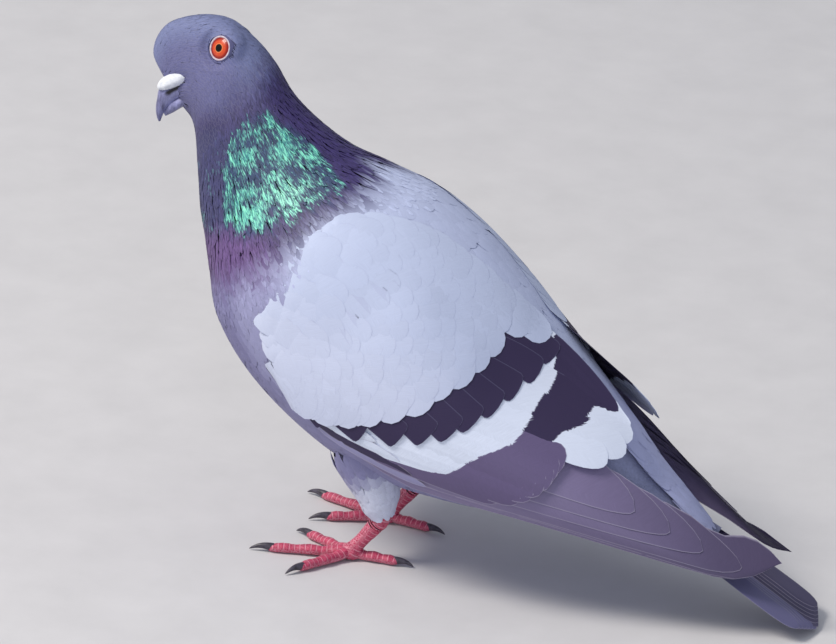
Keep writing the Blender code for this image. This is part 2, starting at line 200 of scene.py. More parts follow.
def vane_template(across, along, full_under):
    """A thin closed vane: its grid places across and along, which points are under it, its faces."""
    bm = bmesh.new()
    columns, rows = len(across) - 1, len(along) - 1
    bmesh.ops.create_grid(bm, x_segments=columns, y_segments=rows, size=1.0)
    for vert in bm.verts:
        column = (vert.co.x + 1) / 2 * columns
        row = (vert.co.y + 1) / 2 * rows
        vert.co = (across[round(column)], along[round(row)], 0.0)
    tip = [vert for vert in bm.verts if vert.co.y > along[-1] - 1e-6]
    bmesh.ops.pointmerge(bm, verts=tip, merge_co=(0.0, along[-1], 0.0))
    inner = [vert for vert in bm.verts if not vert.is_boundary]
    made = bmesh.ops.duplicate(bm, geom=bm.verts[:] + bm.edges[:] + bm.faces[:])
    under = [item for item in made["geom"] if isinstance(item, bmesh.types.BMFace)]
    if full_under:
        for vert in inner:
            made["vert_map"][vert].co.z = -1.0
    else:
        under = bmesh.ops.dissolve_faces(bm, faces=under)["region"]
    bmesh.ops.reverse_faces(bm, faces=under)
    rim = [vert for vert in bm.verts if vert.is_boundary]
    bmesh.ops.remove_doubles(bm, verts=rim, dist=1e-5)
    bmesh.ops.triangulate(bm, faces=bm.faces[:])
    bm.verts.index_update()
    bm.normal_update()
    order = sorted(bm.faces, key=lambda face: face.normal.z > 0)
    places = np.array([vert.co for vert in bm.verts])
    faces = np.array([[vert.index for vert in face.verts] for face in order])
    bm.free()
    return places, faces


# A vane widens and rises over this share of its length, and its quill is this wide, in millimetres.
VANE_BASE, QUILL_WIDTH = 0.4, 0.45


def outline(along, base, round_from, power):
    """Half width of a vane along its length: a narrow base, full width, then a rounded tip."""
    rise = base + (1 - base) * smoothstep(0.0, VANE_BASE, along)
    fall = np.clip((along - round_from) / (1 - round_from), 0.0, 1.0)
    return rise * np.sqrt(np.clip(1 - fall**power, 0.0, 1.0))


def lay(surface, template, root, tip, half, **look):
    """Lay vanes on a surface: their roots and tips there, and their half widths to each side.

    A look holds the lifts of root and tip, the shapes that outline takes, and where wanted a bow,
    slope, camber, roll, thickness, quill, ragged sides and a relief. The batch that comes back has
    the points, faces, vane coordinates (across, along, distance to the edge) and places on the
    surface, each with one row for a vane.
    """
    places, faces = template
    root, tip, half = (np.asarray(item, float) for item in (root, tip, half))
    count, size = len(root), len(places)
    across, along, under = places.T

    def spread(value):
        value = np.asarray(value, float)
        return value[:, None] if value.ndim else np.full((count, 1), float(value))

    bow = spread(look.get("bow", 0.0))
    swell = 4 * along * (1 - along)
    first = root[:, :1] + (tip - root)[:, :1] * along
    second = root[:, 1:] + (tip - root)[:, 1:] * along + bow * swell
    point, normal, slope_a, slope_b = surface(first.ravel(), second.ravel())
    way = (tip - root)[:, :1] * np.ones(size)
    turn = (tip - root)[:, 1:] + bow * 4 * (1 - 2 * along)
    heading = slope_a * way.reshape(-1, 1) + slope_b * turn.reshape(-1, 1)
    length = np.linalg.norm(heading, axis=1)
    heading /= length[:, None]
    length = length.reshape(count, size).mean(axis=1)[:, None]
    aside = slope_b - heading * (slope_b * heading).sum(1)[:, None]
    aside -= normal * (aside * normal).sum(1)[:, None]
    aside /= np.linalg.norm(aside, axis=1)[:, None]
    if (np.cross(aside, heading) * normal).sum() < 0:
        faces = faces[:, ::-1]
    shapes = [outline(along, *look[key]) for key in ("shape", "inner_shape") if key in look]
    width = np.where(across < 0, shapes[0] * half[:, :1], shapes[-1] * half[:, 1:])
    ragged = 1 + look.get("ragged", 0.0) * RNG.normal(size=(count, size)) * (np.abs(across) > 0.99)
    aside_mm = across * width * ragged
    step = aside * aside_mm.reshape(-1, 1)
    # A step aside in space, as steps of the surface's two numbers.
    aa, ab, bb, to_a, to_b = (
        (one * other).sum(1) for one, other in (
            (slope_a, slope_a), (slope_a, slope_b), (slope_b, slope_b), (step, slope_a), (step, slope_b)))
    area = aa * bb - ab * ab
    first = first + ((to_a * bb - to_b * ab) / area).reshape(count, size)
    second = second + ((to_b * aa - to_a * ab) / area).reshape(count, size)
    point, normal, _, _ = surface(first.ravel(), second.ravel())
    low, high = spread(look["lift"][0]), spread(look["lift"][1])
    # Past its base a vane lies nearly level, so that only a thin step shows at its tip.
    level = high - spread(look.get("slope", 0.3)) * (1 - along)
    lift = level - (level - low) * (1 - smoothstep(0.0, VANE_BASE, along))
    lift = lift + spread(look.get("camber", 0.0)) * (1 - across**2) * np.minimum(1, 3 * (1 - along))
    lift = lift + spread(look.get("roll", 0.0)) * across
    lift = lift + under * look.get("thick", 0.2)
    quill = np.exp(-((aside_mm / QUILL_WIDTH) ** 2)) * (under == 0)
    lift = lift + look.get("quill", 0.0) * quill * (1 - along)
    if "relief" in look:
        lift = lift + look["relief"](point).reshape(count, size)
    edge = np.minimum((1 - np.abs(across)) * width, (1 - along) * length)
    return {
        "points": (point + normal * lift.reshape(-1, 1)).reshape(count, size, 3),
        "faces": faces,
        "vane": np.stack((aside_mm, along * length, edge), axis=2),
        "along": np.broadcast_to(along, (count, size)),
        "across": np.broadcast_to(across, (count, size)),
        "place": np.stack((first, second), axis=2),
    }


def add_object(name, mesh):
    """An object of a mesh, in the scene."""
    made = bpy.data.objects.new(name, mesh)
    bpy.context.scene.collection.objects.link(made)
    return made


def write_values(mesh, name, values):
    """Keep a number, a vector or a colour for each of a mesh's points."""
    values = np.asarray(values, np.float32)
    kind, field = {1: ("FLOAT", "value"), 2: ("FLOAT_VECTOR", "vector")}[values.ndim]
    if values.ndim == 2 and values.shape[1] == 4:
        kind, field = "FLOAT_COLOR", "color"
    made = mesh.attributes.new(name, kind, "POINT")
    made.data.foreach_set(field, values.ravel())


# A feather's own patch on the bake map, in parts of the map's side.
BAKE_PATCH = 0.003
# Where each surface lies on the bake map: low corner, high corner, and the range of its two numbers.
BAKE_PLACES = {
    "body": ((0.01, 0.01), (0.99, 0.56), (0.0, 22.0), (-math.pi, math.pi)),
    "wing_left": ((0.01, 0.58), (0.49, 0.78), (-0.05, 1.0), (-0.05, 1.05)),
    "wing_right": ((0.51, 0.58), (0.99, 0.78), (-0.05, 1.0), (-0.05, 1.05)),
    "thigh_left": ((0.01, 0.80), (0.32, 0.98), (0.0, 1.0), (-math.pi, math.pi)),
    "thigh_right": ((0.34, 0.80), (0.65, 0.98), (0.0, 1.0), (-math.pi, math.pi)),
    "tail": ((0.67, 0.80), (0.99, 0.98), (0.0, 1.0), (-1.0, 1.0)),
}


def bake_place(region, place):
    """A root's place on the bake map, which lays each surface out by its own two numbers."""
    low, high, *ranges = BAKE_PLACES[region]
    parts = [
        low[i] + (high[i] - low[i]) * np.clip((place[:, i] - r[0]) / (r[1] - r[0]), 0, 1)
        for i, r in enumerate(ranges)
    ]
    return np.stack(parts, axis=1)


# How far inside a dark marking a feather without one is, in millimetres.
NOT_DARK = -9.0
# Faces that meet at more than this have a sharp edge, on a feather and on a solid piece.
FEATHER_SHARP, SOLID_SHARP = math.radians(60.0), math.radians(50.0)


def feather_mesh(name, batches, material):
    """Join laid vanes into one piece, with the values that its material reads and its bake map."""
    points, faces, maps, start = [], [], [], 0
    values = {key: [] for key in ("tint", "deep", "vane", "own", "dark", "green_and_painted_glint")}
    for batch in batches:
        count, size = batch["points"].shape[:2]
        shift = start + np.arange(count)[:, None, None] * size
        points.append(batch["points"].reshape(-1, 3))
        faces.append((batch["faces"][None] + shift).reshape(-1, 3))
        values["own"].append(np.repeat(RNG.random(count), size))
        values["vane"].append(batch["vane"].reshape(-1, 3))
        for key in ("tint", "deep"):
            tints = np.broadcast_to(batch.get(key, BAR_DARK), (count, size, 3)).reshape(-1, 3)
            values[key].append(np.column_stack((tints, np.ones(len(tints)))))
        for key, empty in (("dark", NOT_DARK), ("green_and_painted_glint", 0.0)):
            values[key].append(np.broadcast_to(batch.get(key, empty), (count, size)).ravel())
        patch = np.stack((batch["across"] / 2, batch["along"] - 0.5), axis=2) * BAKE_PATCH
        maps.append((batch["map"][:, None, :] + patch).reshape(-1, 2))
        start += count * size
    points, faces = np.vstack(points), np.vstack(faces)
    mesh = bpy.data.meshes.new(name)
    mesh.vertices.add(len(points))
    mesh.vertices.foreach_set("co", (points * MM).astype(np.float32).ravel())
    mesh.loops.add(faces.size)
    mesh.loops.foreach_set("vertex_index", faces.astype(np.int32).ravel())
    mesh.polygons.add(len(faces))
    mesh.polygons.foreach_set("loop_start", np.arange(0, faces.size, 3, dtype=np.int32))
    mesh.update(calc_edges=True)
    mesh.shade_smooth()
    mesh.set_sharp_from_angle(angle=FEATHER_SHARP)
    for key, parts in values.items():
        write_values(mesh, key, np.concatenate(parts))
    layer = mesh.uv_layers.new(name="OFBake")
    places = np.concatenate(maps)[faces.ravel()]
    layer.data.foreach_set("uv", places.astype(np.float32).ravel())
    mesh.materials.append(material)
    return add_object(name, mesh)


# ---------------------------------------------------------------- markings

# The head's slate is painted paler on the crown, where light falls, and darker on the cheeks, in painted
# shade.
HEAD_SLATE, CROWN_SLATE_PAINTED_LIT, CHEEK_SLATE_PAINTED_SHADE = paint("#61638F"), paint("#6C76A1"), paint("#54547E")
NECK_SLATE, NECK_TEAL, NECK_PURPLE = paint("#403A66"), paint("#2A3F62"), paint("#5F477A")
NECK_BAND, THROAT_SLATE, NAPE_PURPLE = paint("#372D5C"), paint("#443F6A"), paint("#33295E")
MANTLE_PALE, BREAST_MAUVE, FLANK_GREY = paint("#B4BEDD"), paint("#7876A0"), paint("#8786AE")
RUMP_PALE, VENT_GREY, THIGH_WHITE = paint("#A6ACD2"), paint("#8F93B8"), paint("#CDD2E6")
SHIELD_PALE, SHIELD_LOW, BAND_WHITE = paint("#B8C3DF"), paint("#C4CCE4"), paint("#D6DFF2")
BAR_DARK, SECONDARY_GREY = paint("#2A1F46"), paint("#5F537A")
PRIMARY_GREY, PRIMARY_TIP = paint("#7B7196"), paint("#463D5C")
EDGE_LILAC, BREAST_EDGE = paint("#8F8DB4"), paint("#A2A4C8")
# The tail's slate, painted lit on its left feathers and in painted shade on its right ones.
TAIL_SLATE_PAINTED_SHADE, TAIL_SLATE_PAINTED_LIT = paint("#3D3858"), paint("#5A5980")

# Borders on the body, as places along the stations at angles from the back in degrees.
HEAD_END = ((0, 54, 92, 129, 180), (7.0, 7.2, 6.8, 5.35, 4.9))
GREEN_START = ((0, 22, 43, 91, 106, 118, 180), (10.5, 9.4, 7.9, 7.6, 8.5, 10.1, 10.4))
GREEN_END = ((0, 21, 31, 51, 86, 106, 118, 180), (8.0, 9.0, 10.7, 10.8, 10.7, 10.2, 9.9, 9.4))
GLOSS_END = ((0, 7, 13, 45, 94, 104, 113, 123, 134, 180),
             (10.7, 10.85, 11.25, 11.2, 11.45, 11.5, 11.45, 11.4, 11.3, 11.2))


def border(table, angle):
    """A border's place at each angle round the body, the same on both sides."""
    return np.interp(np.abs(np.degrees(angle)), *table)


def body_look(place, wander=0.0, near=0.0):
    """Colour of the plumage at places on the body, with the share of the neck's green, over which glints
    of sheen are painted.

    Each place is moved along by its wander, and the breast pales where it is near a wing.
    """
    along, angle = place[:, 0] + wander, place[:, 1]
    low = (1 - np.cos(angle)) / 2
    # Painted light and shade: the crown lit from above, the cheeks and chin shaded.
    tint = blend(CROWN_SLATE_PAINTED_LIT, HEAD_SLATE, smoothstep(0.02, 0.35, low))
    tint = blend(tint, CHEEK_SLATE_PAINTED_SHADE, smoothstep(0.45, 0.9, low))
    neck = blend(NAPE_PURPLE, NECK_SLATE, smoothstep(0.03, 0.2, low))
    neck = blend(neck, THROAT_SLATE, smoothstep(0.75, 0.95, low))
    head_end = border(HEAD_END, angle)
    tint = blend(tint, neck, smoothstep(-1.0, 0.7, along - head_end))
    start, end = border(GREEN_START, angle), border(GREEN_END, angle)
    # The neck's own green patch, which also carries the painted glints of its sheen.
    green_and_painted_glint = smoothstep(-0.25, 0.35, along - start) * smoothstep(-0.2, 0.3, end - along)
    faint = smoothstep(0.2, 1.2, along - head_end) * smoothstep(0.0, 0.5, end + 0.3 - along)
    green_and_painted_glint = np.maximum(green_and_painted_glint, 0.28 * faint * smoothstep(0.12, 0.3, low))
    tint = blend(tint, NECK_TEAL, green_and_painted_glint)
    purple = smoothstep(-0.3, 0.5, along - end) * smoothstep(0.03, 0.2, low)
    tint = blend(tint, blend(NECK_BAND, NECK_PURPLE, smoothstep(0.35, 0.6, low)), purple)
    lower = blend(MANTLE_PALE, BREAST_MAUVE, smoothstep(0.4, 0.62, low))
    lower = blend(lower, FLANK_GREY, smoothstep(12.5, 14.5, along) * smoothstep(0.35, 0.6, low))
    lower = blend(lower, RUMP_PALE, smoothstep(15.5, 17.5, along) * smoothstep(0.6, 0.3, low))
    lower = blend(lower, VENT_GREY, smoothstep(17.5, 19.5, along) * smoothstep(0.5, 0.7, low))
    lower = blend(lower, BREAST_EDGE, 0.6 * near * smoothstep(0.3, 0.45, low))
    tint = blend(tint, lower, smoothstep(-0.5, 0.55, along - border(GLOSS_END, angle)))
    return tint, green_and_painted_glint


# Borders on the wing: places along it, at places up it.
BAR_ONE_FRONT = ((0, .136, .212, .304, .4, .484, .584, .7, .816, .916, .984, 1.0),
                 (.084, .198, .244, .29, .324, .336, .35, .356, .368, .344, .404, .43))
BAR_ONE_REAR = ((0, .12, .136, .212, .276, .38, .472, .624, .764, .92, 1.0),
                (.13, .236, .288, .326, .354, .384, .4, .42, .44, .44, .47))
BAR_TWO_FRONT = ((0, .1, .14, .244, .38, .464, .564, .724, .876, .96, 1.0),
                 (.2, .382, .414, .432, .462, .474, .476, .474, .47, .458, .44))
BAR_TWO_REAR = ((0, .5, .66, .776, .912, 1.02), (.53, .518, .524, .542, .548, .59))
SHIELD_FRONT = ((0, .064, .32, .804, 1.0), (.075, .058, .014, -.014, -.014))
WING_LENGTH = 205.0
# The wing is pale up to this place along it, whatever lies over it.
SHIELD_START = 0.16


def wing_line(table, up):
    """A border's place along the wing at places up it."""
    return np.interp(up, *table)


def wing_look(place):
    """Colour of the wing at its places, with how far inside a dark bar each is, in millimetres."""
    along, up = place[:, 0], place[:, 1]
    tint = blend(SHIELD_PALE, SHIELD_LOW, smoothstep(0.8, 0.2, up))
    tint = blend(tint, BAND_WHITE, smoothstep(0.0, 0.01, along - wing_line(BAR_ONE_REAR, up)))
    first = np.minimum(along - wing_line(BAR_ONE_FRONT, up), wing_line(BAR_ONE_REAR, up) - along)
    second = np.minimum(along - wing_line(BAR_TWO_FRONT, up), wing_line(BAR_TWO_REAR, up) - along)
    second = np.where(up > 0.42, second, -0.05)
    return tint, np.maximum(first, second) * WING_LENGTH


# ---------------------------------------------------------------- places of the eyes

EYE_RADIUS = 5.4
EYE_OPENING = 3.75
# The front of an eye is flatter than a ball, and moved out so that its opening stays in place.
EYE_FLATNESS, EYE_OUT = 0.55, 0.97
EYE_AHEAD, EYE_RISE = math.radians(28.0), 0.16
EYE_CENTRES = {side: head_place([(7.5 * sign, -60.9, 171.4)])[0] for side, sign in SIDES.items()}
# Round the eye the face meets the lid at this height over the eye's middle, and falls away from it.
LID_HEIGHT, LID_FALL, LID_REACH, LID_STEP = 3.1, 0.5, (4.75, 8.2), (-2.3, 1.9)
# The face is a little hollow behind the cere, which shows its rear end there.
HOLLOWS = head_place([(4.8, -74.3, 158.6), (-4.8, -74.3, 158.6)])
HOLLOW_DEPTH, HOLLOW_WIDTH = 1.5, 3.0


def eye_axis(side):
    """The way an eye looks: out to its side, somewhat ahead, and a little up."""
    ahead = (math.cos(EYE_AHEAD) * SIDES[side], -math.sin(EYE_AHEAD), EYE_RISE)
    ends = head_place([(0.0, 0.0, 0.0), ahead])
    return Vector(ends[1] - ends[0]).normalized()


def eye_frame(side):
    """The turn and place of an eye, which looks along its own Z."""
    turn = eye_axis(side).to_track_quat("Z", "Y").to_matrix().to_4x4()
    return Matrix.Translation(EYE_CENTRES[side]) @ turn


def beside_eye(points, side):
    """How far points are out from an eye's axis, and along it from the eye's middle."""
    away = points - EYE_CENTRES[side]
    along = away @ np.array(eye_axis(side))
    return np.sqrt(np.maximum((away**2).sum(1) - along**2, 0.0)), along


def round_eyes(points):
    """How far to move the face along its normals so that it runs up to the eyes' lids."""
    shift = np.zeros(len(points))
    for side in SIDES:
        out, along = beside_eye(points, side)
        wanted = LID_HEIGHT - LID_FALL * np.maximum(out - LID_REACH[0], 0.0)
        share = 1 - smoothstep(*LID_REACH, out)
        shift += np.clip(wanted - along, *LID_STEP) * share * smoothstep(-4.5, -1.5, along)
    return shift


def hollow_face(points):
    """How far the face sinks, as a negative height, behind the cere."""
    away = np.linalg.norm(points[:, None] - HOLLOWS, axis=2).min(axis=1)
    return -HOLLOW_DEPTH * np.exp(-((away / HOLLOW_WIDTH) ** 2))


def face_relief(points):
    """How far to move the face's feathers along its normals."""
    return round_eyes(points) + hollow_face(points)


# ---------------------------------------------------------------- coat of the body

SMALL_VANE = vane_template((-1, 0, 1), (0, 0.3, 0.6, 0.85, 1.0), True)
BROAD_VANE = vane_template((-1, -0.5, 0, 0.5, 1), (0, 0.25, 0.5, 0.72, 0.88, 0.97, 1.0), False)
FLIGHT_VANE = vane_template(
    (-1, -0.8, -0.55, -0.3, -0.1, 0.0, 0.04, 0.12, 0.28, 0.46, 0.64, 0.82, 1),
    (0, 0.1, 0.2, 0.3, 0.4, 0.5, 0.6, 0.7, 0.78, 0.85, 0.9, 0.94, 0.97, 0.99, 1.0), True)


def solid_tree(*nodes):
    """A search tree over some of the frame's solids."""
    bm = bmesh.new()
    for node in nodes:
        bm.from_mesh(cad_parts[node].data)
    bmesh.ops.remove_doubles(bm, verts=bm.verts, dist=1e-5)
    tree = BVHTree.FromBMesh(bm)
    bm.free()
    return tree


def nearest_on(surface, first, second):
    """A search for the place on a surface nearest to each of some points."""
    grid = np.array([(a, b) for a in first for b in second])
    known, normals, _, _ = surface(grid[:, 0], grid[:, 1])
    tree = KDTree(len(known))
    for index, point in enumerate(known):
        tree.insert(point, index)
    tree.balance()

    def search(points):
        """The nearest places, and how far over the surface and from the place each point is."""
        found = np.array([tree.find(point)[1] for point in points])
        away = points - known[found]
        return grid[found], (away * normals[found]).sum(1), np.linalg.norm(away, axis=1)

    return search


ON_BODY = nearest_on(BODY, np.linspace(0, 22, 221), np.linspace(-math.pi, math.pi, 181))
ON_WING = {side: nearest_on(WINGS[side], np.linspace(-0.05, 1, 106), np.linspace(0, 1, 51))
           for side in SIDES}
FLIGHT_TREE = solid_tree(*(f"wing_{group}_{side}" for side in SIDES
                           for group in ("secondaries", "primaries")))
BILL_TREE = solid_tree("bill_upper", "bill_lower", "cere")


# The stretch of the wing, along and up, whose coverts hide the body, and how near it lies there.
WING_COVER, WING_GAP = ((0.03, 0.06), (0.5, 0.93)), 12.0
# How far out and in from the body, in metres, the flight feathers' solids are looked for, and how
# far out that starts.
LOOK_OUT, LOOK_IN, LOOK_START = 0.03, 0.005, 0.0002


def near_wing(points, normals):
    """Whether the wing's feathers lie over each point of the body, and whether just under it."""
    over, under = np.zeros(len(points), bool), np.zeros(len(points), bool)
    for side in SIDES:
        place, _, gap = ON_WING[side](points)
        inside = (place > WING_COVER[0]).all(axis=1) & (place < WING_COVER[1]).all(axis=1)
        over |= (gap < WING_GAP) & inside
    for index, (point, normal) in enumerate(zip(points, normals)):
        out, ray = Vector(point * MM), Vector(normal)
        over[index] |= FLIGHT_TREE.ray_cast(out + ray * LOOK_START, ray, LOOK_OUT)[0] is not None
        under[index] = FLIGHT_TREE.ray_cast(out, -ray, LOOK_IN)[0] is not None
    return over, under


def staggered_rows(surface, low, high, columns, spacing, turn=(-math.pi, math.pi)):
    """Places on a surface in staggered rows, with the spacing between rows at each."""
    fine = np.linspace(low, high, 160)
    places, gaps = [], []
    for column in range(columns):
        angle = turn[0] + (column + 0.5) / columns * (turn[1] - turn[0])
        slope = np.linalg.norm(surface(fine, np.full_like(fine, angle))[2], axis=1)
        gap = np.interp(fine, (low, high), spacing)
        rows = np.concatenate(([0], np.cumsum((slope / gap)[1:] * np.diff(fine))))
        wanted = np.arange(0.5 * (column % 2), rows[-1], 1.0)
        along = np.interp(wanted, rows, fine)
        places += [(place, angle) for place in along]
        gaps += list(np.interp(along, fine, gap))
    return np.array(places), np.array(gaps)


BACK = math.radians(70.0)
# The coat's stretches: stations, columns, angles from the back, row spacing at the ends, length
# and half width for the spacing, depth of the roots, lift and slope of the vanes, spread of the
# lie, and the shape of a vane.
BODY_COATS = {
    "coat_head": ((0.02, 7.6), 104, (-math.pi, math.pi), (0.85, 1.75), 3.2, 0.66,
                  0.35, (0.0, 0.0), (0.06, 0.25), 0.06, (0.7, 0.4, 2.2)),
    "coat_neck": ((6.7, 11.6), 104, (-math.pi, math.pi), (1.9, 2.9), 3.3, 0.56,
                  0.9, (0.10, 0.30), (0.30, 0.45), 0.08, (0.7, 0.35, 1.8)),
    "coat_back": ((10.9, 17.4), 24, (-BACK, BACK), (4.2, 6.4), 2.7, 0.7,
                  0.8, (0.20, 0.35), (0.22, 0.22), 0.04, (0.8, 0.6, 2.4)),
    "coat_breast": ((10.9, 17.2), 52, (BACK, 2 * math.pi - BACK), (3.0, 4.6), 2.8, 0.7,
                    0.8, (0.20, 0.25), (0.22, 0.22), 0.05, (0.7, 0.45, 2.2)),
    "coat_rump": ((16.6, 21.7), 52, (-math.pi, math.pi), (4.4, 5.4), 2.9, 0.7,
                  1.2, (0.20, 0.15), (0.3, 0.3), 0.04, (0.6, 0.5, 2.4)),
}
# How far along the stations a feather's colours stray, and the distances from a wing over which
# the breast pales.
BORDER_WANDER = 0.1
PALING_REACH = (12.0, 2.0)
# Feathers don't grow behind this station, where the tail's feathers start.
COAT_END = 21.95
# Places along a feather that are tried against the lids, how near to an eye's axis one may come
# from the front, and where one that starts behind may lie under the lid.
LID_TRIALS = np.linspace(0.0, 1.0, 11)
LID_LAP, LID_UNDER = 4.4, 4.1
# The face's feathers stay this far from the bill and cere, in metres.
BILL_GAP = 0.0003


def lid_share(point, tip_point):
    """How much of its length each feather of the face keeps beside the lids.

    One ahead of an eye is as short as the lid asks, and one behind it starts under the lid.
    """
    part = np.ones(len(point))
    for side in SIDES:
        for share in LID_TRIALS:
            out, along = beside_eye(point + (tip_point - point) * share, side)
            part = np.minimum(part, np.where((out < LID_LAP) & (along > 0), share - 0.1, 1.0))
        out, along = beside_eye(point, side)
        behind = (out > LID_UNDER) & (out < LID_REACH[0]) & (along > 0)
        behind &= beside_eye(tip_point, side)[0] > out + 1.0
        part = np.where(behind, 1.0, part)
    return part


def body_coat(name):
    """One stretch of the body's coat as laid vanes."""
    stations, columns, turn, spacing, length, half, depth, lift, slope, spread, shape = BODY_COATS[name]
    step = (turn[1] - turn[0]) / columns
    root, gap = staggered_rows(BODY, *stations, columns, spacing, turn)
    count = len(root)
    root = root + RNG.normal(size=(count, 2)) * (0.05, 0.1 * step)
    point, normal, slope_a, slope_b = BODY(root[:, 0], root[:, 1])
    across = np.linalg.norm(slope_b, axis=1) * step
    reach = gap * length * RNG.normal(1.0, 0.06, count)
    yaw = RNG.normal(0.0, spread, count) * reach
    reach = reach / np.linalg.norm(slope_a, axis=1)
    tip = np.stack((root[:, 0] + reach, root[:, 1] + yaw / np.linalg.norm(slope_b, axis=1)), axis=1)
    tip_point, tip_normal, _, _ = BODY(tip[:, 0], tip[:, 1])
    keep = tip[:, 0] < COAT_END
    if name == "coat_head":
        vane, fit = SMALL_VANE, {"relief": face_relief, "thick": 0.04}
        part = lid_share(point, tip_point)
        keep &= part > 0.25
        tip = root + (tip - root) * part[:, None]
        gap = gap * (0.5 + part / 2)
        for spots in (point, (point + tip_point) / 2):
            keep &= np.array([BILL_TREE.find_nearest(Vector(spot * MM))[3] > BILL_GAP for spot in spots])
    else:
        vane, fit = BROAD_VANE, {"thick": 0.06}
        at_root, at_tip = near_wing(point, normal), near_wing(tip_point, tip_normal)
        keep &= ~(at_root[0] & at_tip[0]) & ~at_tip[1]
    root, tip, gap = root[keep], tip[keep], gap[keep]
    width = np.maximum(across[keep], gap * 0.5) * half
    share = (root[:, 0] - stations[0]) / (stations[1] - stations[0])
    raised, slope = (low + (high - low) * share for low, high in (lift, slope))
    lifts = (raised - depth, raised + RNG.normal(0.0, 0.012, len(root)))
    batch = lay(BODY, vane, root, tip, np.stack((width, width), axis=1), lift=lifts, slope=slope,
                shape=shape, camber=width * 0.04, **fit)
    # Each feather takes its colours from a little ahead or behind, which frays the borders.
    wander = RNG.normal(0.0, BORDER_WANDER, (len(root), 1)) * np.ones(batch["along"].shape)
    spots = BODY(root[:, 0], root[:, 1])[0]
    away = np.minimum(*(ON_WING[side](spots)[2] for side in SIDES))
    near = np.repeat(smoothstep(*PALING_REACH, away), wander.shape[1])
    tint, green_and_painted_glint = body_look(batch["place"].reshape(-1, 2), wander.ravel(), near)
    batch["tint"] = tint.reshape(*wander.shape, 3)
    batch["green_and_painted_glint"] = green_and_painted_glint.reshape(wander.shape)
    batch["map"] = bake_place("body", root)
    return batch


# ---------------------------------------------------------------- wing feathers

COVERT_ROWS = 15
# The coverts' spacing and length at the wing's front and their growth to the bar, and their half
# width for the spacing.
COVERT_SPACING, COVERT_REACH, COVERT_HALF = (5.0, 3.2), (10.0, 10.0), 0.78
# Heights of the tips of small and great coverts over the wing.
COVERT_LIFT, GREAT_LIFT = 2.6, 2.1
# Length of the great coverts in parts of the wing's, and their half width.
GREAT_REACH, GREAT_HALF = 0.17, 5.6
# How much the coverts turn up or down the wing, at places up it.
COVERT_FAN = ((0, .2, .38, .48, .63, .75, .9, 1.0), (-.5, -.5, -.45, -.3, .06, .5, .3, .2))
# Places up the wing of the great coverts' middles, and along it of their tips.
GREAT_COVERTS = ((.06, .115, .185, .265, .345, .44, .56, .685, .815, .94),
                 (.15, .225, .295, .343, .378, .40, .418, .43, .442, .448))
# Secondaries and inner long feathers, lowest layer first: root, tip, half widths, lift of the tip.
SECONDARIES = (
    ((.16, .02), (.505, .14), (4.6, 6.5), 1.2),
    ((.18, .05), (.528, .19), (4.6, 6.5), 1.3),
    ((.20, .10), (.540, .25), (4.6, 6.5), 1.4),
    ((.22, .17), (.548, .31), (4.6, 6.5), 1.5),
    ((.24, .24), (.552, .37), (4.8, 6.5), 1.6),
    ((.26, .30), (.552, .43), (5.0, 6.5), 1.7),
    ((.28, .37), (.552, .50), (5.2, 6.5), 1.8),
    ((.30, .43), (.602, .66), (6.0, 9.5), 1.9),
    ((.30, .50), (.624, .80), (6.5, 9.0), 2.0),
    ((.30, .64), (.634, .93), (6.5, 8.0), 2.1),
    ((.30, .86), (.630, 1.01), (5.8, 6.0), 2.2),
    ((.31, .97), (.590, 1.03), (5.2, 4.0), 2.3),
)
# Outer flight feathers, lowest layer first: root, tip, bow, half widths, lifts of root and tip.
PRIMARIES = (
    ((.12, .02), (.936, .33), -.19, (2.6, 11.5), (-1.5, -1.3)),
    ((.12, .03), (.990, .40), -.16, (2.8, 11.5), (-1.2, -1.1)),
    ((.12, .05), (.878, .40), -.17, (3.0, 14.0), (-.9, -.85)),
    ((.12, .07), (.792, .44), -.14, (3.2, 14.5), (-.6, -.6)),
    ((.12, .09), (.728, .45), -.09, (3.4, 15.0), (-.3, -.3)),
    ((.12, .11), (.668, .47), -.03, (3.6, 15.0), (-.05, -.05)),
)
# Blades over the outer flight feathers' bases along the wing's lower edge.
EDGE_COVERTS = (
    ((.06, .00), (.400, .005), (2.4, 3.0), 0.7),
    ((.05, .02), (.360, .035), (2.2, 2.4), 1.0),
    ((.04, .05), (.320, .075), (2.0, 2.6), 1.3),
    ((.03, .08), (.260, .110), (2.4, 3.0), 1.6),
)


# The wing's surface stays over this height on the body, so that its coverts lie just over the coat.
WING_CLEAR = -1.9


def over_body(points):
    """How much to raise wing feathers so that they run smoothly on over the back and shoulder."""
    _, height, _ = ON_BODY(points)
    short = WING_CLEAR - height
    return (short + np.sqrt(short**2 + 1.0)) / 2


def on_wing(batch, side):
    """Keep a batch with the wing's patch of the bake map."""
    batch["map"] = bake_place("wing_" + side, batch["place"][:, 0])
    return batch


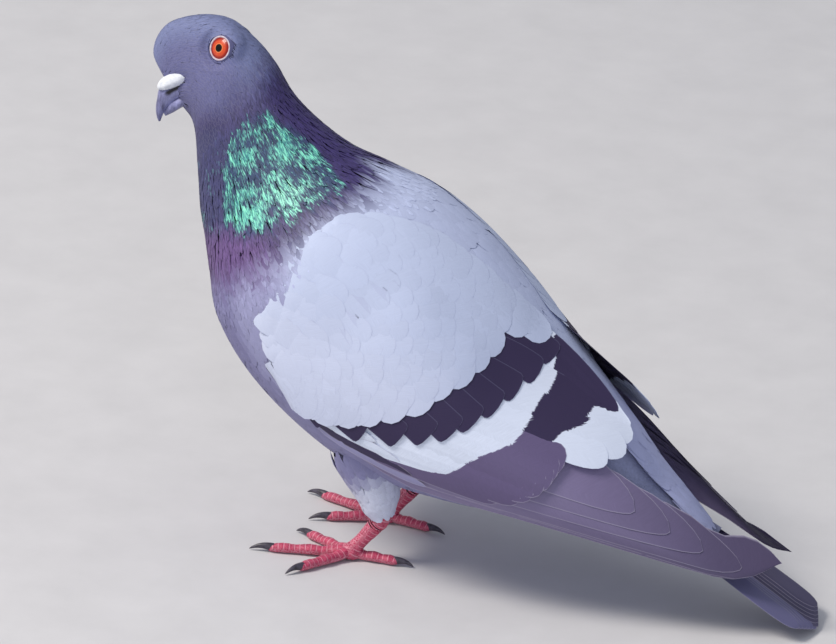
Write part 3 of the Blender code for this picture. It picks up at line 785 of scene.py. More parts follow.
def small_coverts(side):
    """Rows of small rounded coverts from the front of the wing to the first bar."""
    roots, tips, halves, sunk, lifts = [], [], [], [], []
    for row in range(COVERT_ROWS):
        share = ((row + 1) / COVERT_ROWS) ** 0.9
        fine = np.linspace(0.0, 1.0, 120)
        line = wing_line(SHIELD_FRONT, fine)
        line = line + (wing_line(BAR_ONE_FRONT, fine) - line) * share
        points = wing_points(line, fine, side)
        run = np.concatenate(([0], np.cumsum(np.linalg.norm(np.diff(points, axis=0), axis=1))))
        spacing, reach = (start + growth * share for start, growth in (COVERT_SPACING, COVERT_REACH))
        reach = reach / WING_LENGTH
        count = round(run[-1] / spacing)
        spots = (np.arange(count + 1) + 0.5 * (row % 2)) / count
        up = np.interp(spots * run[-1], run, fine)
        along = np.interp(up, fine, line)
        along = along + RNG.normal(0.0, 0.005 if 1 < row < COVERT_ROWS - 1 else 0.002, len(up))
        fan = np.interp(up, *COVERT_FAN)
        tips.append(np.stack((along, up), axis=1))
        roots.append(np.stack((along - reach, up - reach * fan * 0.8), axis=1))
        halves.append(np.full((len(up), 2), spacing * COVERT_HALF) * RNG.normal(1, 0.05, (len(up), 1)))
        sunk.append(np.full(len(up), 4.0 if row < 2 else 1.0))
        lifts.append(np.full(len(up), COVERT_LIFT - 0.15 * max(3 - row, 0)))
    root, tip, half, sunk, lift = (np.concatenate(item) for item in (roots, tips, halves, sunk, lifts))
    root = np.clip(root, (-0.06, -0.03), (1.0, 1.05))
    lift = lift + RNG.normal(0, 0.015, len(root))
    batch = lay(WINGS[side], BROAD_VANE, root, tip, half, lift=(lift - sunk, lift), slope=0.25,
                shape=(0.8, 0.6, 2.4), camber=0.1, thick=0.06, roll=0.03, relief=over_body)
    tint, _ = wing_look(np.stack((tip[:, 0] - 0.03, tip[:, 1]), axis=1))
    batch["tint"] = tint[:, None, :]
    return on_wing(batch, side)


def barred(batch, front, rear, wander):
    """Darken a batch between two borders along the wing, moved by each feather's own wander."""
    along, up = batch["place"][..., 0], batch["place"][..., 1]
    inside = np.minimum(along - wing_line(front, up), wing_line(rear, up) - along)
    batch["dark"] = inside * WING_LENGTH + wander[:, None]
    return batch


def great_coverts(side):
    """The long coverts, whose dark ends make the first bar."""
    up, along = (np.array(row) for row in GREAT_COVERTS)
    tip = np.stack((along + 0.008, up + 0.01), axis=1)
    fan = np.interp(up, *COVERT_FAN)
    root = np.stack((np.maximum(tip[:, 0] - GREAT_REACH, 0.05), tip[:, 1] - GREAT_REACH * fan), axis=1)
    half = np.full((len(up), 2), GREAT_HALF)
    lift = GREAT_LIFT + 0.04 * np.arange(len(up))
    batch = lay(WINGS[side], FLIGHT_VANE, root, tip, half, lift=(lift - 1.4, lift), slope=0.3,
                shape=(0.6, 0.93, 3.0), camber=0.1, thick=0.1, quill=0.1, roll=0.12,
                relief=over_body)
    batch["tint"] = BAR_DARK * np.ones((len(up), 1, 1))
    return on_wing(batch, side)


def blades(side, rows, shape):
    """Long pale blades of the wing from a table of roots, tips, half widths and lifts."""
    root, tip, half, lift = (np.array(column) for column in zip(*rows))
    batch = lay(WINGS[side], FLIGHT_VANE, root, tip, half, lift=(lift - 0.7, lift), slope=0.3,
                shape=shape, thick=0.16, quill=0.15, camber=0.15, roll=0.15, relief=over_body)
    batch["tint"] = BAND_WHITE * np.ones((len(rows), 1, 1))
    return on_wing(batch, side)


# The outer secondaries are slate to their tips: their marking has no rear border on the wing.
OUTER = 7
NO_END = ((0, 1), (9.0, 9.0))


def secondaries(side):
    """The slate outer secondaries with the wing's edge, then the feathers of both dark bars."""
    outer = blades(side, SECONDARIES[:OUTER], (0.6, 0.9, 3.4))
    barred(outer, BAR_TWO_FRONT, NO_END, RNG.normal(0, 0.4, OUTER))
    outer["deep"] = SECONDARY_GREY * np.ones((OUTER, 1, 1))
    inner = blades(side, SECONDARIES[OUTER:], (0.6, 0.7, 2.8))
    barred(inner, BAR_TWO_FRONT, BAR_TWO_REAR, RNG.normal(0, 0.5, len(SECONDARIES) - OUTER))
    edge = blades(side, EDGE_COVERTS, (0.6, 0.5, 2.0))
    edge["tint"][:2, 0] = EDGE_LILAC, BAR_DARK
    return [outer, edge], [great_coverts(side), inner]


def primaries(side):
    """The long outer flight feathers, each with a narrow outer vane and rounded tip."""
    root, tip, bow, half, lifts = (np.array(column) for column in zip(*PRIMARIES))
    batch = lay(WINGS[side], FLIGHT_VANE, root, tip, half, bow=bow, lift=lifts.T, slope=0.0,
                shape=(0.8, 0.86, 2.2), inner_shape=(0.6, 0.7, 2.0), thick=0.2, quill=0.2, camber=0.1)
    paling = smoothstep(0.98, 0.45, batch["place"][..., 0])
    batch["tint"] = blend(PRIMARY_TIP, PRIMARY_GREY, paling)
    return [on_wing(batch, side)]


# ---------------------------------------------------------------- tail and thighs

TAIL_BASE_Y, TAIL_END_HEIGHT, TAIL_SLOPE, TAIL_ARCH = 112.0, 0.6, 0.515, 1.4
TAIL_HALF_WIDTHS = ((15.0,), (16.5,), (17.5,), (17.0,), (15.5,), (10.5,))
TAIL_PAIRS = 6
# Where the middle pair's tips are across the tail and the step to the next pair's, then how far
# each pair lies under the one inside it, and the right feather of a pair under the left one.
TAIL_FAN, TAIL_LAYER = (0.06, 0.122), (0.24, 0.12)


def tail_points(along, across):
    """Points of the tail's upper face, from its base to its end and from left to right."""
    width = smooth_rows(TAIL_HALF_WIDTHS, np.clip(along, 0, 1) * (len(TAIL_HALF_WIDTHS) - 1))[:, 0]
    width = np.where(along > 0.8, 15.5, width)
    y = TAIL_BASE_Y + (TAIL_END_Y - TAIL_BASE_Y) * along - 2.0 * across**2 * along**4
    z = TAIL_END_HEIGHT + TAIL_SLOPE * (TAIL_END_Y - y) - TAIL_ARCH * across**2 * (1 - along)
    z = z + (4.2 - 2.5 * along) / 2
    return np.stack((-across * width, y + SHIFT_Y, z), axis=1)


TAIL = with_normals(tail_points, 0.01, -1.0)


def tail_feathers():
    """Twelve overlapping tail feathers, the middle pair on top."""
    roots, tips, halves, lifts = [], [], [], []
    for pair in reversed(range(TAIL_PAIRS)):
        for sign in (-1.0, 1.0):
            spread = sign * (TAIL_FAN[0] + TAIL_FAN[1] * pair)
            roots.append((-0.3, spread * 0.45))
            tips.append((1.0 - 0.012 * pair, spread))
            halves.append((4.6, 5.6) if sign > 0 else (5.6, 4.6))
            lifts.append(-TAIL_LAYER[0] * pair - (TAIL_LAYER[1] if sign > 0 else 0.0))
    lift = np.array(lifts)
    batch = lay(TAIL, FLIGHT_VANE, np.array(roots), np.array(tips), np.array(halves),
                lift=(lift - 0.3, lift - 0.1), shape=(0.7, 0.86, 2.6), thick=0.2, quill=0.2, camber=0.15)
    # Painted light: the left feathers take the lit slate and the right ones the shaded slate.
    shade = smoothstep(-0.1, 0.1, np.array(tips)[:, 1])
    batch["tint"] = blend(TAIL_SLATE_PAINTED_LIT, TAIL_SLATE_PAINTED_SHADE, shade)[:, None, :]
    batch["map"] = bake_place("tail", batch["place"][:, 0])
    return batch


THIGH = (((16, 4, 46), 14.5), ((17, 8.5, 35), 11.0), ((17.9, 12, 26.5), 8.0), ((18.3, 13.9, 20), 6.3))


def thigh_points(along, angle, side):
    """Points of a feathered thigh, from the belly to the leg, round from its front."""
    rows = smooth_rows([(*point, radius) for point, radius in THIGH], along * (len(THIGH) - 1))
    radius = rows[:, 3] * (1 - 0.25 * smoothstep(0.85, 1.1, along))
    x, y, z = rows[:, 0], rows[:, 1], rows[:, 2]
    # A thigh's rings are square to its line, which leans back in the side view.
    lean = math.radians(30.0)
    x = (x + radius * np.sin(angle)) * SIDES[side]
    ahead = -radius * np.cos(angle)
    return np.stack((x, y + ahead * math.cos(lean) + SHIFT_Y, z + ahead * math.sin(lean)), axis=1)


THIGHS = {
    side: with_normals(lambda along, angle, side=side: thigh_points(along, angle, side), 0.01, sign)
    for side, sign in SIDES.items()
}


def thigh_coat(side):
    """Short downy feathers of the thigh, ragged at the leg."""
    root, _ = staggered_rows(THIGHS[side], 0.02, 1.0, 22, (3.6, 2.4))
    count = len(root)
    reach = 0.26 * RNG.normal(1.0, 0.1, count)
    tip = np.stack((root[:, 0] + reach, root[:, 1] + RNG.normal(0, 0.08, count)), axis=1)
    tip[:, 0] = np.minimum(tip[:, 0], 1.1 + RNG.normal(0, 0.03, count))
    width = np.linspace(2.2, 1.4, 50)[(np.clip(root[:, 0], 0, 1) * 49).astype(int)]
    batch = lay(THIGHS[side], BROAD_VANE, root, tip, np.stack((width, width), axis=1),
                lift=(-1.6, 0.1), shape=(0.5, 0.45, 1.8), camber=0.15, thick=0.12)
    batch["tint"] = blend(FLANK_GREY, THIGH_WHITE, smoothstep(0.35, 0.7, tip[:, 0]))[:, None, :]
    batch["map"] = bake_place("thigh_" + side, root)
    return batch


# ---------------------------------------------------------------- solid pieces

def loft(bm, rings):
    """Draw a closed skin through rings of points: a circle, extruded from ring to ring."""
    line = bmesh.ops.create_circle(bm, cap_ends=True, segments=len(rings[0]), radius=1.0)["verts"]
    made = list(line)
    for vert, place in zip(line, rings[0]):
        vert.co = place
    for ring in rings[1:]:
        edges = [bm.edges.get(pair) for pair in zip(line, line[1:] + line[:1])]
        grown = bmesh.ops.extrude_edge_only(bm, edges=edges)["geom"]
        fresh = {}
        for vert in grown:
            if isinstance(vert, bmesh.types.BMVert):
                fresh.update({edge.other_vert(vert): vert for edge in vert.link_edges})
        line = [fresh[vert] for vert in line]
        for vert, place in zip(line, ring):
            vert.co = place
        made += line
    edges = [bm.edges.get(pair) for pair in zip(line, line[1:] + line[:1])]
    bmesh.ops.holes_fill(bm, edges=edges, sides=0)
    return made


def finish_piece(name, bm, materials):
    """Turn a bmesh drawn in millimetres into a named piece in metres."""
    bmesh.ops.remove_doubles(bm, verts=bm.verts, dist=0.001)
    bmesh.ops.recalc_face_normals(bm, faces=bm.faces)
    bmesh.ops.scale(bm, vec=(MM, MM, MM), verts=bm.verts)
    mesh = bpy.data.meshes.new(name)
    bm.to_mesh(mesh)
    bm.free()
    mesh.shade_smooth()
    mesh.set_sharp_from_angle(angle=SOLID_SHARP)
    for material in materials:
        mesh.materials.append(material)
    return add_object(name, mesh)


def remeshed(bm, voxel, rounds):
    """Run a bmesh drawn in metres into one closed, smoothed form, and give it back in millimetres."""
    mesh = bpy.data.meshes.new("rough")
    bm.to_mesh(mesh)
    bm.free()
    rough = add_object("rough", mesh)
    remesh = rough.modifiers.new("One form", "REMESH")
    remesh.mode = "VOXEL"
    remesh.voxel_size = voxel
    graph = bpy.context.evaluated_depsgraph_get()
    whole = bpy.data.meshes.new_from_object(rough.evaluated_get(graph))
    bpy.data.objects.remove(rough)
    bm = bmesh.new()
    bm.from_mesh(whole)
    bmesh.ops.scale(bm, vec=(1 / MM, 1 / MM, 1 / MM), verts=bm.verts)
    for _ in range(rounds):
        bmesh.ops.smooth_vert(bm, verts=bm.verts, factor=0.5,
                              use_axis_x=True, use_axis_y=True, use_axis_z=True)
    return bm


# Scaled legs: points of the leg and the radius at each, then the toes as in the frame.
TARSUS = ((18.3, 14.0, 19.5, 3.4), (18.4, 13.2, 16.5, 3.2), (18.4, 11.2, 13.6, 2.9),
          (18.5, 7.6, 8.6, 2.45), (18.6, 5.4, 5.6, 2.6), (18.6, 4.2, 3.6, 3.3),
          (18.6, 3.3, 2.2, 3.6), (18.6, 3.1, 0.9, 3.0))
FOOT = np.array((18.6, 3.2, 0.0))
CLAW_ROOT_HEIGHT = 1.75
# Toes: the way each points, in degrees outward from straight ahead, its length and its claw's.
TOES = {"inner": (-27.0, 21.5, 6.5), "middle": (17.0, 28.5, 7.0),
        "outer": (60.0, 23.0, 6.5), "hind": (186.0, 17.0, 6.0)}
# The length of a scute along a leg or toe.
SCUTE = 1.9


def toe_way(angle):
    """The way a toe points along the floor."""
    turn = math.radians(angle)
    return np.array((math.sin(turn), -math.cos(turn), 0.0))


def tube_rings(line, radii, sides, flat=1.0, relief=0.0):
    """Rings round a line of points; relief gives them the raised edges of scutes on their upper side."""
    line = np.asarray(line, float)
    ahead = np.gradient(line, axis=0)
    ahead /= np.linalg.norm(ahead, axis=1)[:, None]
    run = np.concatenate(([0], np.cumsum(np.linalg.norm(np.diff(line, axis=0), axis=1))))
    aside = np.cross(ahead, (0.0, 0.0, 1.0))
    steep = np.abs(ahead[:, 2]) > 0.8
    aside[steep] = np.cross(ahead[steep], (0.0, 1.0, 0.0))
    aside /= np.linalg.norm(aside, axis=1)[:, None]
    over = np.cross(aside, ahead)
    turn = np.arange(sides) / sides * 2 * math.pi
    rings, facts = [], []
    for at, point in enumerate(line):
        part = (run[at] / SCUTE) % 1.0
        step = relief * (1 - part) ** 2 * np.clip(0.35 + np.sin(turn), 0, 1)
        radius = radii[at] + step
        ring = point + np.outer(radius * np.cos(turn), aside[at])
        ring = ring + np.outer(radius * np.sin(turn) * flat, over[at])
        rings.append(ring)
        facts.append(np.stack((turn * radii[at], np.full(sides, run[at]), np.sin(turn)), axis=1))
    return rings, np.concatenate(facts)


def add_tube(bm, scale_layer, rings, facts):
    """Loft a scaled tube and keep how far round and along it each point is."""
    for vert, fact in zip(loft(bm, rings), facts):
        vert[scale_layer] = Vector(fact)


def add_leg(bm, scale_layer, side):
    """A bare scaled leg with a padded foot and four toes."""
    sign = (SIDES[side], 1.0, 1.0)
    shift = np.array((0.0, SHIFT_Y, 0.0))
    rows = smooth_rows(TARSUS, np.linspace(0, len(TARSUS) - 1, 52))
    line = rows[:, :3] * sign + shift
    add_tube(bm, scale_layer, *tube_rings(line, rows[:, 3], 22, relief=0.16))
    for angle, reach, _ in TOES.values():
        spots = np.linspace(0.6, reach, 64)
        share = spots / reach
        # Each toe narrows, swells over three pads and ends blunt at its claw.
        radius = 2.15 - 0.45 * share - 0.12 * np.cos(share * 3 * 2 * math.pi)
        radius *= np.sqrt(np.clip((1.02 - share) / 0.06, 0.12, 1.0))
        rise = 1.1 * (1 - smoothstep(0.0, 0.3, share)) + 0.25 * np.sin(share * math.pi)
        line = FOOT + np.outer(spots, toe_way(angle))
        line[:, 2] = radius * 0.86 + 0.12 + rise
        add_tube(bm, scale_layer, *tube_rings(line * sign + shift, radius, 20, 0.88, 0.13))


# A lid's section: distance out from the eye's axis, and along it from the eye's middle.
LID_SECTION = ((3.7, 2.8), (3.72, 3.1), (3.86, 3.32), (4.1, 3.36), (4.35, 3.26), (4.7, 2.9), (5.3, 2.1),
               (5.9, 0.9), (6.4, -0.6), (6.6, -2.2), (5.9, -2.0), (5.3, 0.2), (4.7, 1.7), (3.9, 2.45))


def add_eye_lid(bm, side):
    """The bare ring of lid that closes on the eye and runs out under the feathers."""
    made = bmesh.ops.create_circle(bm, segments=len(LID_SECTION), radius=1.0, cap_ends=False)["verts"]
    for vert, (out, along) in zip(made, LID_SECTION):
        vert.co = (out, 0.0, along)
    start = len(bm.verts) - len(made)
    edges = {edge for vert in made for edge in vert.link_edges}
    bmesh.ops.spin(bm, geom=list(edges), cent=(0, 0, 0), axis=(0, 0, 1), angle=2 * math.pi, steps=48,
                   use_merge=True)
    bm.verts.ensure_lookup_table()
    bmesh.ops.transform(bm, verts=bm.verts[start:], matrix=eye_frame(side))


FLESH = ("head", "neck", "breast", "trunk", "rump", "thigh_left", "thigh_right",
         "wing_coverts_left", "wing_coverts_right")
SCALED = tuple(f"{part}_{side}" for side in SIDES
               for part in ("tarsus", "toe_inner", "toe_middle", "toe_outer", "toe_hind"))


# The coat's depth on the head and on the body, and the stations between which it grows.
SKIN_DEPTH, DEPTH_STATIONS = (0.9, 2.2), (6.0, 11.0)
# Remeshing voxels, in metres, fine enough for the skin's folds and for the cere's small lobes.
SKIN_VOXEL, CERE_VOXEL = 0.0014, 0.00022
# The lid is bare this far out from an eye's axis.
LID_BARE = 4.3
# The skin turns white down the thigh between two heights, this far ahead of and behind its middle.
WHITE_HEIGHTS, THIGH_Y, THIGH_REACH = (38.0, 26.0), 12.0, 16.0


def skin_tint(points, place, body_gap):
    """The plumage's colour at points of the skin: the wing's where that lies nearer than the body."""
    tint, _ = body_look(place)
    for side in SIDES:
        wing_place, _, gap = ON_WING[side](points)
        over = (gap < body_gap - 0.5) & (gap < 5)
        look, dark = wing_look(wing_place)
        dark = np.where(wing_place[:, 0] < SHIELD_START, -1.0, dark)
        tint = np.where(over[:, None], np.where(dark[:, None] > 0, BAR_DARK, look), tint)
    beside_thigh = np.abs(points[:, 1] - SHIFT_Y - THIGH_Y) < THIGH_REACH
    return blend(tint, THIGH_WHITE, smoothstep(*WHITE_HEIGHTS, points[:, 2]) * beside_thigh)


def make_skin(materials):
    """One skin for the body, thighs and wing arms, set in by the coat's depth, with bare legs and lids."""
    bm = bmesh.new()
    for node in FLESH:
        bm.from_mesh(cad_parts[node].data)
    bmesh.ops.remove_doubles(bm, verts=bm.verts, dist=1e-5)
    bm = remeshed(bm, SKIN_VOXEL, 6)
    bm.normal_update()
    points = np.array([vert.co for vert in bm.verts])
    normals = np.array([vert.normal for vert in bm.verts])
    place, _, body_gap = ON_BODY(points)
    depth = SKIN_DEPTH[0] + np.ptp(SKIN_DEPTH) * smoothstep(*DEPTH_STATIONS, place[:, 0])
    moved = points - normals * (depth - hollow_face(points))[:, None]
    raised = round_eyes(points)
    for side in SIDES:
        out, _ = beside_eye(points, side)
        moved += np.outer(raised * (out > EYE_OPENING) * (out < LID_REACH[1]), eye_axis(side))
    for vert, point in zip(bm.verts, moved):
        vert.co = point
    body_verts, body_faces = len(bm.verts), len(bm.faces)
    scale_layer = bm.verts.layers.float_vector.new("scale")
    for side in SIDES:
        add_leg(bm, scale_layer, side)
    bm.faces.ensure_lookup_table()
    for face in bm.faces[body_faces:]:
        face.material_index = 1
    for side in SIDES:
        start = len(bm.faces)
        add_eye_lid(bm, side)
        bm.faces.ensure_lookup_table()
        lid = bm.faces[start:]
        out, _ = beside_eye(np.array([face.calc_center_median() for face in lid]), side)
        for face, reach in zip(lid, out):
            face.material_index = 2 if reach < LID_BARE else 0
    skin = finish_piece("skin", bm, materials)
    colours = np.ones((len(skin.data.vertices), 4))
    colours[:, :3] = HEAD_SLATE
    colours[:body_verts, :3] = skin_tint(points, place, body_gap)
    write_values(skin.data, "tint", colours)
    return skin


def make_eyes(material):
    """Both eyes, each with how far its points are from the middle of the pupil."""
    bm = bmesh.new()
    layer = bm.verts.layers.float.new("from_pupil")
    for side in SIDES:
        made = bmesh.ops.create_uvsphere(bm, u_segments=48, v_segments=40, radius=EYE_RADIUS)
        for vert in made["verts"]:
            vert[layer] = math.degrees(vert.co.angle(Vector((0, 0, 1))))
            vert.co.z = vert.co.z * EYE_FLATNESS + EYE_OUT
        bmesh.ops.transform(bm, verts=made["verts"], matrix=eye_frame(side))
    return finish_piece("eyes", bm, [material])


# Stations of the bill's halves, from the face to the tip: upper (y, z), lower (y, z), half width.
UPPER_BILL = ((-77.0, 159.0, -70.5, 154.0, 4.7), (-78.5, 158.5, -72.0, 153.6, 4.5),
              (-83.4, 154.6, -75.6, 151.6, 4.1), (-84.2, 150.2, -78.9, 149.0, 3.2),
              (-84.3, 146.8, -81.1, 146.2, 2.3), (-83.7, 144.0, -81.9, 144.1, 1.35),
              (-82.9, 142.4, -82.3, 142.6, 0.5))
LOWER_BILL = ((-70.0, 155.0, -71.0, 149.8, 4.3), (-72.2, 154.4, -73.0, 149.4, 4.1),
              (-76.4, 152.2, -75.6, 148.0, 3.6), (-79.6, 149.8, -78.0, 146.2, 2.6),
              (-81.8, 146.4, -80.6, 144.6, 0.9))
# Ends of the left nostril, and the distances from it over which its opening is painted dark with the shade
# inside it.
NOSTRIL = ((4.3, -80.3, 153.0), (4.4, -76.3, 155.8))
NOSTRIL_EDGE = (0.95, 0.45)


def painted_nostril_shade(points):
    """How far points of the bill lie in a nostril's painted shade, from 0 outside it to 1."""
    away = np.full(len(points), 99.0)
    for sign in SIDES.values():
        start, end = head_place(np.array(NOSTRIL) * (sign, 1, 1))
        share = np.clip((points - start) @ (end - start) / ((end - start) ** 2).sum(), 0, 1)
        away = np.minimum(away, np.linalg.norm(start + share[:, None] * (end - start) - points, axis=1))
    return smoothstep(*NOSTRIL_EDGE, away)


def bill_half(name, rows, edge, material):
    """One half of the bill, lofted through its stations with a fine cutting edge."""
    places = np.linspace(0, len(rows) - 1, 6 * len(rows))
    turn = np.arange(32) / 32 * 2 * math.pi
    rings = []
    for upper_y, upper_z, lower_y, lower_z, half_width in smooth_rows(rows, places):
        upper, lower = np.array((0.0, upper_y, upper_z)), np.array((0.0, lower_y, lower_z))
        # The cutting edge is a soft corner low on the upper half or high on the lower one.
        height = np.cos(turn)
        side = np.sign(np.sin(turn)) * np.abs(np.sin(turn)) ** 0.85
        corner = 1 + 0.06 * np.exp(-(((height - edge) / 0.25) ** 2))
        ring = (upper + lower) / 2 + np.outer(height, (upper - lower) / 2)
        ring[:, 0] += half_width * side * corner
        rings.append(head_place(ring))
    bm = bmesh.new()
    loft(bm, rings)
    piece = finish_piece(name, bm, [material])
    points = np.array([vert.co for vert in piece.data.vertices]) / MM
    # Where a nostril opens, the bill is painted with the shade inside it.
    write_values(piece.data, "nostril_shade", painted_nostril_shade(points))
    return piece


def make_cere(material):
    """Two swollen chalky lobes over the nostrils, run together in the middle."""
    bm = bmesh.new()
    for sign in SIDES.values():
        made = bmesh.ops.create_icosphere(bm, subdivisions=4, radius=1.0)
        for vert in made["verts"]:
            # Each lobe is flatter below, where it lies on the bill.
            vert.co.z *= 1.0 if vert.co.z > 0 else 0.7
        shape = Matrix.Rotation(math.radians(30.0), 4, "X") @ Matrix.Diagonal((3.7, 6.9, 3.2, 1))
        centre = Matrix.Translation((2.7 * sign, -78.0, 157.7))
        bmesh.ops.transform(bm, matrix=centre @ shape, verts=made["verts"])
    verts = bm.verts[:]
    for vert, place in zip(verts, head_place([vert.co for vert in verts])):
        vert.co = place
    bmesh.ops.scale(bm, vec=(MM, MM, MM), verts=bm.verts)
    return finish_piece("cere_lobes", remeshed(bm, CERE_VOXEL, 5), [material])


def make_claws(material):
    """Eight short curved claws, each narrowing to a blunt point near the floor."""
    bm = bmesh.new()
    for sign in SIDES.values():
        for angle, reach, claw in TOES.values():
            share = np.linspace(0, 1, 14)
            # A claw starts inside its toe.
            line = FOOT + np.outer(reach - 1.4 + (claw + 1.2) * share, toe_way(angle))
            line[:, 2] = CLAW_ROOT_HEIGHT * (1 - share**2.2) + 0.75 * np.sin(share * 2.2)
            radii = 1.3 * (1 - share) ** 0.75 + 0.12
            line[:, 2] = np.maximum(line[:, 2], radii + 0.05)
            rings, _ = tube_rings(line * (sign, 1, 1) + (0, SHIFT_Y, 0), radii, 12, 1.1)
            loft(bm, rings)
    return finish_piece("claws", bm, [material])


# ---------------------------------------------------------------- materials

def add_node(tree, kind, inputs=None, take=0, **settings):
    """Add a node with its settings, set or link its inputs, and give back one of its outputs."""
    made = tree.nodes.new("ShaderNode" + kind)
    for key, value in settings.items():
        setattr(made, key, value)
    for key, value in (inputs or {}).items():
        if isinstance(value, bpy.types.NodeSocket):
            tree.links.new(value, made.inputs[key])
        else:
            made.inputs[key].default_value = value
    return made.outputs[take]


def new_material(name, **constants):
    """A material with its shader, whose constant settings go straight on the shader's sockets."""
    material = bpy.data.materials.new(name)
    material.use_nodes = True
    tree = material.node_tree
    shader = tree.nodes["Principled BSDF"]
    for key, value in constants.items():
        shader.inputs[key.replace("_", " ")].default_value = value
    return material, tree, shader


def finish_surface(tree, shader, base, rough, height, strength, deep=0.0002):
    """Link a surface's colour and roughness, and a relief of a height in metres."""
    tree.links.new(base, shader.inputs["Base Color"])
    tree.links.new(rough, shader.inputs["Roughness"])
    relief = add_node(tree, "Bump", {"Height": height, "Strength": strength, "Distance": deep})
    tree.links.new(relief, shader.inputs["Normal"])


def colour(code):
    """An sRGB hex colour as linear light with full cover."""
    return (*paint(code), 1.0)


def fact(tree, name, take="Fac"):
    """A value that a mesh keeps for each of its points."""
    return add_node(tree, "Attribute", take=take, attribute_name=name)


def calc(tree, operation, *values):
    """One step of arithmetic."""
    return add_node(tree, "Math", dict(enumerate(values)), operation=operation)


def ranged(tree, value, low, high, to_low=0.0, to_high=1.0):
    """A value carried from one range to another, and held within it."""
    ends = {"From Min": low, "From Max": high, "To Min": to_low, "To Max": to_high}
    return add_node(tree, "MapRange", {"Value": value, **ends})


def swing(tree, value, middle, reach):
    """A noise's value, carried to both sides of a middle value."""
    return ranged(tree, value, 0.0, 1.0, middle - reach, middle + reach)


def noise(tree, place, scale, detail, rough=0.5):
    """Cloudy noise of one size."""
    inputs = {"Vector": place, "Scale": scale, "Detail": detail, "Roughness": rough}
    return add_node(tree, "TexNoise", inputs)


def mixed(tree, share, first, second):
    """Two colours mixed, each from a node or in sRGB hex."""
    first, second = (colour(tone) if isinstance(tone, str) else tone for tone in (first, second))
    return add_node(tree, "Mix", {0: share, 6: first, 7: second}, take=2, data_type="RGBA")


def toned(tree, tint, tone):
    """A colour made darker or lighter."""
    return add_node(tree, "VectorMath", {0: tint, "Scale": tone}, operation="SCALE")


def object_place(tree):
    """A point's own place on the bird."""
    return add_node(tree, "TexCoord", take="Object")


def vane_facts(tree):
    """A feather's own number, and the distances across, along and in from the edge of its vane."""
    vane = add_node(tree, "SeparateXYZ", {0: fact(tree, "vane", "Vector")})
    return fact(tree, "own"), vane.node.outputs


# How far apart in the noise two feathers with different numbers lie.
FEATHER_STEP = 61.0
# A marking's border is this soft to each side, in millimetres.
MARK_BLUR = 0.12


def streaks(tree, own, first, second, rough):
    """Noise over two distances on a vane, different on each feather."""
    layer = calc(tree, "MULTIPLY", own, FEATHER_STEP)
    place = add_node(tree, "CombineXYZ", {"X": first, "Y": second, "Z": layer})
    return noise(tree, place, 1.0, 2.0, rough)


def feather_material(name, spacing, sweep, tones, rim, rough, relief, jag=0.0):
    """Feathers of keratin barbs hooked into flat vanes: matt, with fine streaks slanting off each shaft.

    The streaks show each feather's lie. Real barbs lie about 0.2 mm apart, and are drawn twice as
    coarse or more, so that they show. Tones are how much feathers and streaks differ; the rim has a
    width, a share and a colour; and the jag is how far a marking's border strays along the barbs.
    """
    material, tree, shader = new_material(name)
    own, vane = vane_facts(tree)
    lie = calc(tree, "MULTIPLY_ADD", calc(tree, "ABSOLUTE", vane["X"]), -sweep, vane["Y"])
    lie = calc(tree, "DIVIDE", lie, spacing)
    streak = streaks(tree, own, lie, calc(tree, "MULTIPLY", vane["X"], 0.35), 0.6)
    tone = calc(tree, "MULTIPLY", swing(tree, own, 1, tones[0]), swing(tree, streak, 1, tones[1]))
    tint = fact(tree, "tint", "Color")
    if jag:
        # Inside a dark bar the feather takes its deep colour, with a border frayed along the barbs.
        inside = calc(tree, "ADD", fact(tree, "dark"), swing(tree, streak, 0, jag / 2))
        share = ranged(tree, inside, -MARK_BLUR, MARK_BLUR)
        tint = mixed(tree, share, tint, fact(tree, "deep", "Color"))
    width, most, rim_tone = rim
    share = ranged(tree, vane["Z"], width, 0.0, 0.0, most)
    base = mixed(tree, share, toned(tree, tint, tone), rim_tone)
    finish_surface(tree, shader, base, swing(tree, streak, rough, 0.08), streak, relief)
    return material


def painted_glint_neck_material():
    """Neck feathers of dark teal with green glints: the sheen of flattened, twisted barbs that split
    light, painted into their colour.

    The painted glints run along the shafts in clusters, and the feathers between them stay dark.
    """
    material, tree, shader = new_material("neck_barbs_painted_glint", Specular_IOR_Level=0.55)
    own, vane = vane_facts(tree)
    aside, line = calc(tree, "DIVIDE", vane["X"], 0.5), calc(tree, "DIVIDE", vane["Y"], 3.2)
    streak = streaks(tree, own, aside, line, 0.65)
    cluster = noise(tree, object_place(tree), 170.0, 2.0)
    tint, green_and_painted_glint = fact(tree, "tint", "Color"), fact(tree, "green_and_painted_glint")
    # Dark feathers show their barbs more than pale ones.
    light = add_node(tree, "VectorMath", {0: tint}, take="Value", operation="LENGTH")
    depth = ranged(tree, light, 0.15, 0.6, 2.5, 0.6)
    tone = calc(tree, "MULTIPLY_ADD", calc(tree, "SUBTRACT", streak, 0.5), depth, 1.1)
    # Painted highlight: green glints of the neck's sheen, shown in streaks and clusters where the neck is
    # green.
    painted_glint_share = green_and_painted_glint
    for part, weight in ((streak, 2.6), (cluster, 3.4), (own, 0.5)):
        painted_glint_share = calc(tree, "MULTIPLY_ADD", part, weight, painted_glint_share)
    there = ranged(tree, green_and_painted_glint, 0.05, 0.4)
    painted_glint_share = calc(tree, "MULTIPLY", ranged(tree, painted_glint_share, 3.9, 4.75), there)
    green = mixed(tree, ranged(tree, streak, 0.42, 0.66), "#3A8C92", "#8EF4D2")
    base = mixed(tree, painted_glint_share, toned(tree, tint, tone), green)
    finish_surface(tree, shader, base, ranged(tree, painted_glint_share, 0.0, 1.0, 0.6, 0.4), streak, 0.6, 0.0003)
    return material


